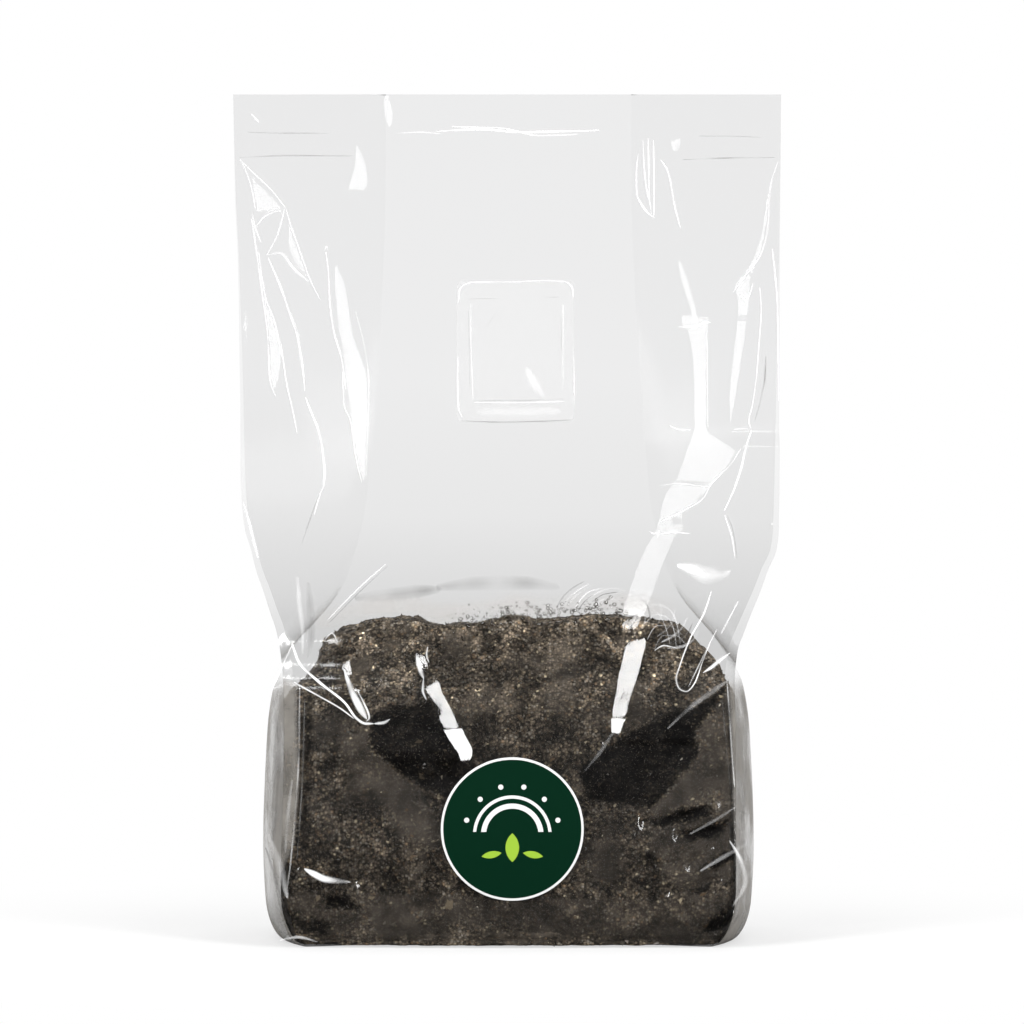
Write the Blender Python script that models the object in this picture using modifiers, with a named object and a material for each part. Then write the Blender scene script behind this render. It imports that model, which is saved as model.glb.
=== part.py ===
"""Mushroom grow bag: a gusseted clear film bag, heat sealed at the head, a third full of dark substrate.

Run with: blender --background --python part.py

The bag stands on its foot with +Z up, its front towards -Y, and the origin on the table under its middle.
"""

import math

import bmesh
import bpy
import numpy as np
from mathutils import Matrix, Vector, noise

MM = 0.001

# The film, as the empty bag lies flat
BAG_WIDTH = 200 * MM  # from crease to crease
GUSSET_DEPTH = 55 * MM  # how far each side gusset folds in at the head
BAG_HEIGHT = 308.5 * MM  # from the table to the cut edge at the head
FILM = 0.3 * MM  # wall of the solid; the real film is about 0.08 mm
FOLD_CLEARANCE = 0.35 * MM  # between film layers that lie on each other

# The heat seal, and the loose lip over it
LIP_HEIGHT = 14 * MM
SEAL_HEIGHT = 8.5 * MM
SEAL_STEP = 0.15 * MM  # how far the seal stands proud of the folded film
LIP_THICKNESS = 1.2 * MM

# The filled lower part
FILL_WIDTH = 180 * MM  # over the bulging sides
FRONT_BELLY = 66.4 * MM  # reach of the front panel from the middle plane
BACK_BELLY = 67 * MM  # the back sags a little further
CORNER_X = 81 * MM  # where the creases stand round the fill
CORNER_Y = 52 * MM
FILL_HEIGHT = 75 * MM  # how high the front of the fill stands upright
CREST_RISE = 45 * MM  # from there up to the crest of the fill
CROWN_SHARE = 0.72  # of the film's outline, at the rim of the crest
LUMP_DEPTH = 2.4 * MM  # hollows between the lumps of substrate
LUMP_SIZE = 17 * MM
FOOT_RISE = 15 * MM  # rounded foot: its height
FOOT_TUCK = 7 * MM  # and how far it draws in

# The neck, where the open box of film folds flat
WAIST_RISE = 32 * MM  # from the upright fill to the narrowest place
WAIST_WIDTH = 166 * MM
SPREAD_RISE = 88 * MM  # from the upright fill to where the creases run upright again
SPREAD_SHARE = 0.976  # of the bag's half width, there

# Panel shapes: powers of the curves that run from crease to crease
PANEL_POWER = 2.4
SIDE_POWER = 2.2

# Filter patch, welded over a window in the front panel
PATCH_WIDTH = 43 * MM
PATCH_HEIGHT = 52 * MM
PATCH_THICKNESS = 0.45 * MM
PATCH_CORNER = 2 * MM
PATCH_X = 2.5 * MM
PATCH_DROP = 94.5 * MM  # from the head down to the patch's middle
WELD_SIDE = 4.7 * MM  # welded border beside the window
WELD_END = 7.2 * MM  # and over and under it
MEMBRANE_THICKNESS = 0.25 * MM

# Round label on the fill
LABEL_DIAMETER = 50.8 * MM
LABEL_THICKNESS = 0.25 * MM
LABEL_X = 1.4 * MM
LABEL_Z = 42.7 * MM

# Clearances between the pieces
SEAT = 0.3 * MM  # a piece to the film it lies on
CLING = 0.7 * MM  # substrate to the film round it

# Mesh density
FILM_STEPS = (14, 10, 5)  # along the front, the back and half a side
BLOCK_STEPS = (20, 14, 4)
SHEET_CELL = 6 * MM  # of the patch and the label, which follow the film's curve

# Layers of film at the head, counted from the middle plane
NOSE_HALF = FOLD_CLEARANCE  # half the gap inside a folded gusset
FLANK_HEAD = NOSE_HALF + 0.1 * MM
CREASE_LENGTH = 2 * FILM + FOLD_CLEARANCE  # a crease is a narrow strip
PANEL_HEAD = FLANK_HEAD + CREASE_LENGTH

# Heights that follow
HEAD = BAG_HEIGHT - LIP_HEIGHT - SEAL_HEIGHT  # lower edge of the heat seal
SHOULDER = FILL_HEIGHT + 0.55 * WAIST_RISE
WAIST = FILL_HEIGHT + WAIST_RISE
SPREAD = FILL_HEIGHT + SPREAD_RISE
CREST = FILL_HEIGHT + CREST_RISE
PATCH_Z = BAG_HEIGHT - PATCH_DROP
WINDOW = (PATCH_WIDTH - 2 * WELD_SIDE, PATCH_HEIGHT - 2 * WELD_END)


def curve_through(points, at):
    """Value at a height on a smooth curve through (height, value) points that never overshoots them."""
    heights, values = np.array(points, float).T
    steps = np.diff(heights)
    slopes = np.diff(values) / steps
    tangents = np.zeros(len(heights))
    for i in range(1, len(heights) - 1):
        if slopes[i - 1] * slopes[i] > 0:
            tangents[i] = 2 * slopes[i - 1] * slopes[i] / (slopes[i - 1] + slopes[i])
    tangents[-1] = slopes[-1]
    i = int(np.clip(np.searchsorted(heights, at) - 1, 0, len(steps) - 1))
    t = min(max((at - heights[i]) / steps[i], 0.0), 1.0)
    start = (1 + 2 * t) * (1 - t) ** 2 * values[i] + t * (1 - t) ** 2 * steps[i] * tangents[i]
    end = t * t * (3 - 2 * t) * values[i + 1] + t * t * (t - 1) * steps[i] * tangents[i + 1]
    return float(start + end)


def between(share, low, high):
    return low + share * (high - low)


def foot_inset(z):
    """How far the foot is drawn in at a height: an elliptical quarter round."""
    if z >= FOOT_RISE:
        return 0.0
    return FOOT_TUCK * (1 - math.sqrt(1 - (1 - z / FOOT_RISE) ** 2))


def crease_x(z):
    """Half width of the front panel, from the middle to its crease."""
    spread = SPREAD_SHARE * BAG_WIDTH / 2
    return curve_through(
        [
            (0, CORNER_X),
            (FILL_HEIGHT, CORNER_X),
            (SHOULDER, between(0.35, CORNER_X, WAIST_WIDTH / 2)),
            (WAIST, WAIST_WIDTH / 2),
            (between(0.7, WAIST, SPREAD), between(0.86, WAIST_WIDTH / 2, spread)),
            (SPREAD, spread),
            (HEAD, BAG_WIDTH / 2),
        ],
        z,
    )


def crease_y(z):
    """How far the creases stand from the middle plane, front and back."""
    return curve_through(
        [
            (0, CORNER_Y - 3 * MM),
            (0.45 * FILL_HEIGHT, CORNER_Y),
            (FILL_HEIGHT, CORNER_Y - 2 * MM),
            (WAIST, 0.67 * CORNER_Y),
            (SPREAD, 0.36 * CORNER_Y),
            (HEAD, PANEL_HEAD),
        ],
        z,
    )


def side_x(z):
    """Middle of the side panel: out past the creases round the fill, and folded in above it."""
    folded = BAG_WIDTH / 2 - GUSSET_DEPTH
    return curve_through(
        [
            (0, FILL_WIDTH / 2 - 1.5 * MM),
            (0.45 * FILL_HEIGHT, FILL_WIDTH / 2),
            (FILL_HEIGHT, FILL_WIDTH / 2 - 1.5 * MM),
            (SHOULDER, FILL_WIDTH / 2 - 3.5 * MM),
            (WAIST, between(0.72, folded, FILL_WIDTH / 2)),
            (between(0.4, WAIST, SPREAD), between(0.34, folded, FILL_WIDTH / 2)),
            (SPREAD, between(0.15, folded, FILL_WIDTH / 2)),
            (HEAD, folded),
        ],
        z,
    )


def belly_y(z, belly):
    """Middle of the front or back panel, from the middle plane."""
    return curve_through(
        [
            (0, belly - 1.5 * MM),
            (0.45 * FILL_HEIGHT, belly),
            (FILL_HEIGHT, belly - 4 * MM),
            (WAIST, 0.62 * belly),
            (CREST, 0.5 * belly),
            (SPREAD, 0.33 * belly),
            (HEAD, PANEL_HEAD),
        ],
        z,
    )


def side_power(z):
    """Round outwards on the fill, and straight sided where the gusset is folded."""
    return curve_through([(0, SIDE_POWER), (SHOULDER, SIDE_POWER), (SPREAD, 1.0), (HEAD, 1.0)], z)


def panel_y(x, z, belly, inset=0.0):
    """Distance of a panel from the middle plane at x and height z."""
    inset += foot_inset(z)
    reach = crease_x(z) - inset
    corner = crease_y(z) - inset
    middle = max(belly_y(z, belly) - inset, corner)
    return corner + (middle - corner) * (1 - min(abs(x) / reach, 1.0) ** PANEL_POWER)


def flank(z, inset, steps):
    """Half a side panel, from the front crease to the gusset's nose."""
    drawn = inset + foot_inset(z)
    reach, nose = crease_x(z) - drawn, side_x(z) - drawn
    start = crease_y(z) - drawn - CREASE_LENGTH
    power = side_power(z)
    points = []
    for step in range(steps, -1, -1):
        t = step / steps
        points.append((reach + (nose - reach) * (1 - t**power), -between(t, NOSE_HALF, start)))
    return points


def section(z, inset=0.0, steps=FILM_STEPS):
    """The closed outline of the bag at a height, anticlockwise seen from above."""
    front_steps, back_steps, side_steps = steps
    reach = crease_x(z) - inset - foot_inset(z)
    front = [
        (reach * s, -panel_y(reach * s, z, FRONT_BELLY, inset))
        for s in np.linspace(-1, 1, front_steps + 1)
    ]
    back = [
        (reach * s, panel_y(reach * s, z, BACK_BELLY, inset))
        for s in np.linspace(1, -1, back_steps + 1)
    ]
    right = flank(z, inset, side_steps)
    right += [(x, -y) for x, y in reversed(right)]
    left = [(-x, -y) for x, y in right]
    return front + right + back + left


def loft(name, rings, cap_head):
    """Skins matching outlines, each given as (height, points), with a flat foot."""
    shell = bmesh.new()
    made = [[shell.verts.new((x, y, z)) for x, y in points] for z, points in rings]
    for low, high in zip(made, made[1:]):
        for i in range(len(low)):
            j = (i + 1) % len(low)
            shell.faces.new((low[i], low[j], high[j], high[i]))
    shell.faces.new(list(reversed(made[0])))
    if cap_head:
        shell.faces.new(made[-1])
    mesh = bpy.data.meshes.new(name)
    shell.to_mesh(mesh)
    shell.free()
    return mesh


def finish_part(part, collection, colour, roughness, alpha=1.0):
    """Links a sub-part and gives it its own material."""
    collection.objects.link(part)
    material = bpy.data.materials.new(part.name)
    material.use_nodes = True
    surface = material.node_tree.nodes["Principled BSDF"]
    surface.inputs["Base Color"].default_value = (*colour, 1)
    surface.inputs["Roughness"].default_value = roughness
    surface.inputs["Metallic"].default_value = 0.0
    surface.inputs["Alpha"].default_value = alpha
    part.data.materials.append(material)


def use_as_cutter(helper, tools):
    """Hides a helper that only a modifier sees."""
    tools.objects.link(helper)
    helper.hide_render = True
    helper.display_type = "WIRE"
    return helper


def boolean(part, helper, operation):
    modifier = part.modifiers.new(operation.title(), "BOOLEAN")
    modifier.operation = operation
    modifier.object = helper
    modifier.solver = "EXACT"


def flat_sheet(width, height, corner, cell=SHEET_CELL):
    """A flat rounded rectangle in the XY plane, cut into cells so that it can bend."""
    sheet = bmesh.new()
    bmesh.ops.create_grid(sheet, x_segments=1, y_segments=1, size=0.5)
    bmesh.ops.scale(sheet, vec=(width, height, 1), verts=sheet.verts)
    bmesh.ops.bevel(
        sheet,
        geom=sheet.verts[:],
        offset=corner,
        offset_type="OFFSET",
        segments=max(3, round(corner / (2 * MM))),
        profile=0.5,
        affect="VERTICES",
    )
    for size, direction in ((width, Vector((1, 0, 0))), (height, Vector((0, 1, 0)))):
        cells = round(size / cell)
        for line in range(1, cells):
            place_of_cut = direction * (size * (line / cells - 0.5))
            everything = sheet.verts[:] + sheet.edges[:] + sheet.faces[:]
            bmesh.ops.bisect_plane(
                sheet, geom=everything, dist=0.001 * MM, plane_co=place_of_cut, plane_no=direction
            )
    return sheet


def laid_sheet(name, sheet, thickness, x, z, stand_off):
    """The sheet as an object that follows the front panel, stand_off in front of the film."""
    for vertex in sheet.verts:
        across, up = x + vertex.co.x, z + vertex.co.y
        vertex.co = (across, -panel_y(across, up, FRONT_BELLY) - stand_off, up)
    mesh = bpy.data.meshes.new(name)
    sheet.to_mesh(mesh)
    sheet.free()
    laid = bpy.data.objects.new(name, mesh)
    body = laid.modifiers.new("Thickness", "SOLIDIFY")
    body.thickness = thickness
    body.offset = 1
    body.use_even_offset = True
    return laid


def seal_profile():
    """Outline of the heat seal and lip across the bag, as (y, z), from the seal's lower edge."""
    seal = PANEL_HEAD + SEAL_STEP
    lip = LIP_THICKNESS / 2
    top = BAG_HEIGHT
    shoulder = BAG_HEIGHT - LIP_HEIGHT
    step = seal - lip
    return [
        (-seal, HEAD),
        (seal, HEAD),
        (seal, shoulder),
        (lip, shoulder + step),
        (lip, top),
        (-lip, top),
        (-lip, shoulder + step),
        (-seal, shoulder),
    ]


def solid_plate(name, outline, thickness, matrix):
    """A flat plate as a mesh, its caps welded to its edge, placed by a matrix."""
    curve = bpy.data.curves.new(name + "_outline", "CURVE")
    curve.dimensions = "2D"
    curve.fill_mode = "BOTH"
    curve.extrude = thickness / 2
    spline = curve.splines.new("POLY")
    spline.points.add(len(outline) - 1)
    for point, (x, y) in zip(spline.points, outline):
        point.co = (x, y, 0, 1)
    spline.use_cyclic_u = True
    guide = bpy.data.objects.new(name + "_outline", curve)
    bpy.context.scene.collection.objects.link(guide)
    graph = bpy.context.evaluated_depsgraph_get()
    mesh = bpy.data.meshes.new_from_object(guide.evaluated_get(graph))
    bpy.data.objects.remove(guide)
    plate = bmesh.new()
    plate.from_mesh(mesh)
    bmesh.ops.remove_doubles(plate, verts=plate.verts, dist=0.001 * MM)
    bmesh.ops.recalc_face_normals(plate, faces=plate.faces)
    plate.to_mesh(mesh)
    plate.free()
    mesh.name = name
    mesh.transform(matrix)
    return mesh


def make_seal(tools):
    """The fused band at the head, all film layers in one, with the lip over it."""
    turn = Matrix(((0, 0, 1, 0), (1, 0, 0, 0), (0, 1, 0, 0), (0, 0, 0, 1)))
    mesh = solid_plate("seal_band", seal_profile(), BAG_WIDTH + 2 * SEAL_STEP, turn)
    return use_as_cutter(bpy.data.objects.new("seal_band", mesh), tools)


def make_window(tools):
    """Cutter for the window under the filter patch: through the front panel, short of the back."""
    reach = 0.8 * panel_y(PATCH_X, PATCH_Z + PATCH_HEIGHT / 2, FRONT_BELLY)
    sheet = flat_sheet(*WINDOW, PATCH_CORNER, cell=PATCH_HEIGHT)
    window = laid_sheet("window", sheet, 2 * reach, PATCH_X, PATCH_Z, 0)
    window.modifiers["Thickness"].offset = 0
    return use_as_cutter(window, tools)


def foot_heights():
    """Heights of the outlines round the foot: close together where it turns to the table."""
    return FOOT_RISE * (1 - np.cos(np.linspace(0, math.pi / 2, 5)))


def film_heights():
    """Heights of the film's outlines, from the table to the middle of the heat seal."""
    body = np.linspace(FOOT_RISE, FILL_HEIGHT, 5)[1:]
    neck = np.linspace(FILL_HEIGHT, SPREAD, 11)[1:]
    upper = np.linspace(SPREAD, HEAD + SEAL_HEIGHT / 2, 7)[1:]
    return [float(z) for z in (*foot_heights(), *body, *neck, *upper)]


def make_bag(parts, tools):
    """The film tube with its gussets, its foot, the fused head and the window."""
    rings = [(z, section(min(z, HEAD))) for z in film_heights()]
    bag = bpy.data.objects.new("bag", loft("bag", rings, False))
    wall = bag.modifiers.new("Film", "SOLIDIFY")
    wall.thickness = FILM
    wall.offset = -1
    wall.use_even_offset = True
    boolean(bag, make_seal(tools), "UNION")
    boolean(bag, make_window(tools), "DIFFERENCE")
    finish_part(bag, parts, (0.92, 0.93, 0.94), 0.08, 0.3)


def block_rings():
    """Outlines of the block: the inside of the film up to its shoulder, then a low crown."""
    inset = FILM + CLING
    rings = []
    for z in (*foot_heights(), *np.linspace(FOOT_RISE, SHOULDER, 9)[1:]):
        lift = (FILM + SEAT) * max(0, 1 - z / FOOT_RISE)
        rings.append((z + lift, section(z, inset, BLOCK_STEPS)))
    crown = [(CREST, CROWN_SHARE * 0.62), (CREST, CROWN_SHARE * 0.25)]
    for turn in np.linspace(math.pi / 2, math.pi / 12, 6):
        rise = SHOULDER + (CREST - SHOULDER) * math.sin(turn)
        crown.insert(0, (rise, between(math.cos(turn), CROWN_SHARE, 1.0)))
    for z, share in crown:
        rings.append((z, [(x * share, y * share) for x, y in section(z, inset, BLOCK_STEPS)]))
    return rings


def make_substrate(parts):
    """The block of substrate, pressed smooth at its foot and lumpy above it."""
    mesh = loft("substrate", block_rings(), True)
    for vertex in mesh.vertices:
        hollow = 0.5 + 0.5 * noise.noise(vertex.co / LUMP_SIZE)
        free = min(1.0, vertex.co.z / FOOT_RISE)
        vertex.co -= vertex.normal * (LUMP_DEPTH * free * min(max(hollow, 0), 1))
    finish_part(bpy.data.objects.new("substrate", mesh), parts, (0.05, 0.04, 0.033), 0.9)


def make_patch(parts, tools):
    """The filter patch: a welded border round a thinner membrane."""
    outline = flat_sheet(PATCH_WIDTH, PATCH_HEIGHT, PATCH_CORNER)
    patch = laid_sheet("filter_patch", outline, PATCH_THICKNESS, PATCH_X, PATCH_Z, SEAT)
    pocket = laid_sheet(
        "patch_pocket",
        flat_sheet(*WINDOW, PATCH_CORNER / 2),
        PATCH_THICKNESS,
        PATCH_X,
        PATCH_Z,
        SEAT + MEMBRANE_THICKNESS,
    )
    boolean(patch, use_as_cutter(pocket, tools), "DIFFERENCE")
    finish_part(patch, parts, (0.9, 0.9, 0.9), 0.5)


def make_label(parts):
    """The round label, laid on the curve of the front panel."""
    disc = flat_sheet(LABEL_DIAMETER, LABEL_DIAMETER, 0.4999 * LABEL_DIAMETER)
    label = laid_sheet("label", disc, LABEL_THICKNESS, LABEL_X, LABEL_Z, SEAT)
    finish_part(label, parts, (0.01, 0.09, 0.045), 0.35)


def main():
    for item in list(bpy.data.objects):
        bpy.data.objects.remove(item)
    parts = bpy.data.collections.new("mushroom_grow_bag")
    tools = bpy.data.collections.new("cutters")
    bpy.context.scene.collection.children.link(parts)
    bpy.context.scene.collection.children.link(tools)
    make_bag(parts, tools)
    make_substrate(parts)
    make_patch(parts, tools)
    make_label(parts)
    for part in parts.objects:
        part.data.shade_smooth()
        part.data.set_sharp_from_angle(angle=math.radians(35))


main()
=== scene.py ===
"""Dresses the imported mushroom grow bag: creased clear film, moist crumbly substrate, condensation,
the welded filter patch, the round label and a studio stage."""

import math

import bpy
import numpy as np
from bpy.props import FloatProperty, FloatVectorProperty, IntProperty, PointerProperty
from bpy.types import Operator, Panel, PropertyGroup
from mathutils import Matrix, Vector, noise


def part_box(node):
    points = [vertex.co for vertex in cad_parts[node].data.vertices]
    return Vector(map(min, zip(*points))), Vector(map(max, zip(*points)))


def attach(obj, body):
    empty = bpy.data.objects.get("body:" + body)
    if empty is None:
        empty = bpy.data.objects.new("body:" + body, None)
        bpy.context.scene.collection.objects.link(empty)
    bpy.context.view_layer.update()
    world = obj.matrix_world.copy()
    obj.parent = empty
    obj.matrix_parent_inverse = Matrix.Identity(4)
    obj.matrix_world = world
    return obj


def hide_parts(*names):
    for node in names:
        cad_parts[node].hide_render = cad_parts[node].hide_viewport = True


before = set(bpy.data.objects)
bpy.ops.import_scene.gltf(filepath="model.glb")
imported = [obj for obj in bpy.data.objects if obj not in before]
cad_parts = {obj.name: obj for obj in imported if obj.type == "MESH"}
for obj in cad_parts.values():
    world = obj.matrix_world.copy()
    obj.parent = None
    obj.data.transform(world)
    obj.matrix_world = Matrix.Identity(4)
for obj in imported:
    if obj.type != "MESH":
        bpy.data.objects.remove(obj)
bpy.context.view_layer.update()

bl_info = {
    "name": "Mushroom Grow Bag Dresser",
    "version": (1, 0, 0),
    "blender": (4, 5, 0),
    "location": "3D View > Sidebar > Grow Bag",
    "description": "Builds the film, fill, patch, label and stage of a mushroom grow bag",
    "category": "Object",
}

MM = 0.001
BODY = "root"

# Sizes that come from the frame
BAG_LOW, BAG_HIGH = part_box("bag")
BLOCK_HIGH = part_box("substrate")[1]
PATCH_LOW, PATCH_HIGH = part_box("filter_patch")
LABEL_LOW, LABEL_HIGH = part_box("label")
HEIGHT = BAG_HIGH.z
LABEL_CENTRE = (LABEL_LOW + LABEL_HIGH) / 2
LABEL_RADIUS = (LABEL_HIGH.x - LABEL_LOW.x) / 2
PATCH_CENTRE = (PATCH_LOW + PATCH_HIGH) / 2

# The film greys below this height, and most at the top of the fill
MIST_TOP = 205 * MM
MIST_LOW = 112 * MM

# Half width of the calm middle of the front film, which takes larger cells
CALM_X = 12 * MM

# Form of the film, in metres, as heights over the table and distances from the middle planes.
# These follow the same curves as the CAD bag, with the photo's left and right sides apart.
FILL_HEIGHT = 75 * MM
SHOULDER = FILL_HEIGHT + 17.6 * MM
WAIST = FILL_HEIGHT + 32 * MM
CREST = BLOCK_HIGH.z
SPREAD = FILL_HEIGHT + 88 * MM
HEAD = HEIGHT - 22.5 * MM
SEAL_TOP = HEIGHT - 14 * MM
CORNER_X = 81 * MM
CORNER_Y = 52 * MM
FRONT_BELLY = -BAG_LOW.y
BACK_BELLY = BAG_HIGH.y
FOLDED_X = 45 * MM
HEAD_Y = 1.35 * MM
LIP_Y = 0.5 * MM
CLOSED_HEAD = [(HEAD, HEAD_Y), (SEAL_TOP, HEAD_Y), (SEAL_TOP + 2 * MM, LIP_Y), (HEIGHT, LIP_Y)]
SIDE_FULL = 89.7 * MM  # reach of the side panels round the fill
FOOT_RISE = 15 * MM
FOOT_TUCK = 7 * MM
FOOT_ARCH = 3.2 * MM
PANEL_POWER = 2.4
SIDE_POWER = 2.2


def between(share, low, high):
    """Value at a share of the way from low to high."""
    return low + share * (high - low)


def ramp(low, high, value):
    """Smooth step from 0 at low to 1 at high, for arrays."""
    t = np.clip((value - low) / (high - low), 0, 1)
    return t * t * (3 - 2 * t)


def curve_through(points, at):
    """Values on a smooth curve through (height, value) points that never overshoots them."""
    heights, values = np.array(points, float).T
    steps = np.diff(heights)
    slopes = np.diff(values) / steps
    tangents = np.zeros(len(heights))
    for i in range(1, len(heights) - 1):
        if slopes[i - 1] * slopes[i] > 0:
            tangents[i] = 2 * slopes[i - 1] * slopes[i] / (slopes[i - 1] + slopes[i])
    tangents[-1] = slopes[-1]
    i = np.clip(np.searchsorted(heights, at) - 1, 0, len(steps) - 1)
    t = np.clip((at - heights[i]) / steps[i], 0, 1)
    start = (1 + 2 * t) * (1 - t) ** 2 * values[i] + t * (1 - t) ** 2 * steps[i] * tangents[i]
    end = t * t * (3 - 2 * t) * values[i + 1] + t * t * (t - 1) * steps[i] * tangents[i + 1]
    return start + end


# The film's outline in the photo: height over the table and reach from the middle, in millimetres
LEFT_CREASE = [
    (0, 79), (20, 81), (75, 80), (92, 80.5), (105, 82), (113, 83.9), (120, 86.4), (127, 88.7),
    (134, 91.3), (142, 93.4), (149, 95.6), (156, 96.6), (166, 97.3), (200, 97.8), (245, 98.9),
    (273, 100.1), (309, 101),
]
RIGHT_CREASE = [
    (0, 79), (20, 81), (75, 81), (92, 81), (105, 82.3), (113, 85.3), (120, 88.2), (127, 91.2),
    (134, 93.8), (142, 97.2), (149, 98), (200, 98.7), (273, 99.6), (309, 100),
]


def traced(points, at):
    """Values on the smooth curve through points that are given in millimetres."""
    return curve_through([(place * MM, value * MM) for place, value in points], at)


def left_crease(z):
    """Reach of the left creases from the middle."""
    return traced(LEFT_CREASE, z)


def right_crease(z):
    """Reach of the right creases from the middle."""
    return traced(RIGHT_CREASE, z)


def crease_y(z):
    """Distance of the creases from the middle plane."""
    full = CORNER_Y
    low = [(0, full - 3 * MM), (0.45 * FILL_HEIGHT, full), (FILL_HEIGHT, full - 3 * MM)]
    return curve_through([*low, (WAIST, 0.67 * full), (SPREAD, 0.36 * full), *CLOSED_HEAD], z)


def side_x(z):
    """Middle of the side panel, out past the creases round the fill, and folded in above it."""
    full = SIDE_FULL
    low = [(0, full - 1.5 * MM), (0.45 * FILL_HEIGHT, full), (FILL_HEIGHT, full - 1.5 * MM)]
    neck = [
        (SHOULDER, full - 4 * MM),
        (WAIST, between(0.72, FOLDED_X, full)),
        (between(0.4, WAIST, SPREAD), between(0.34, FOLDED_X, full)),
        (SPREAD, between(0.15, FOLDED_X, full)),
    ]
    return curve_through([*low, *neck, (HEAD, FOLDED_X), (HEIGHT, FOLDED_X)], z)


def side_power(z):
    """How round the side panel is: full over the fill, and straight in the folded head."""
    round_part = [(0, SIDE_POWER), (SHOULDER, SIDE_POWER)]
    return curve_through([*round_part, (SPREAD, 1), (HEAD, 1), (HEIGHT, 1)], z)


def belly_y(z, belly):
    """Distance of the middle of the front or back panel from the middle plane."""
    low = [(0, belly - 1.5 * MM), (0.45 * FILL_HEIGHT, belly), (FILL_HEIGHT, belly - 5.5 * MM)]
    neck = [(WAIST, 0.62 * belly), (WAIST + 13 * MM, 0.5 * belly), (SPREAD, 0.33 * belly)]
    return curve_through([*low, *neck, *CLOSED_HEAD], z)


def foot_inset(z):
    """How far the rounded foot draws in at a height."""
    share = np.clip(1 - z / FOOT_RISE, 0, 1)
    return FOOT_TUCK * (1 - np.sqrt(1 - share**2))


def panel_depth(s, z, belly):
    """Distance of the front or back panel from the middle plane, s from -1 to 1 across it."""
    drawn = foot_inset(z)
    corner = crease_y(z) - drawn
    middle = np.maximum(belly_y(z, belly) - drawn, corner)
    return corner + (middle - corner) * (1 - np.abs(s) ** PANEL_POWER)


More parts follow.
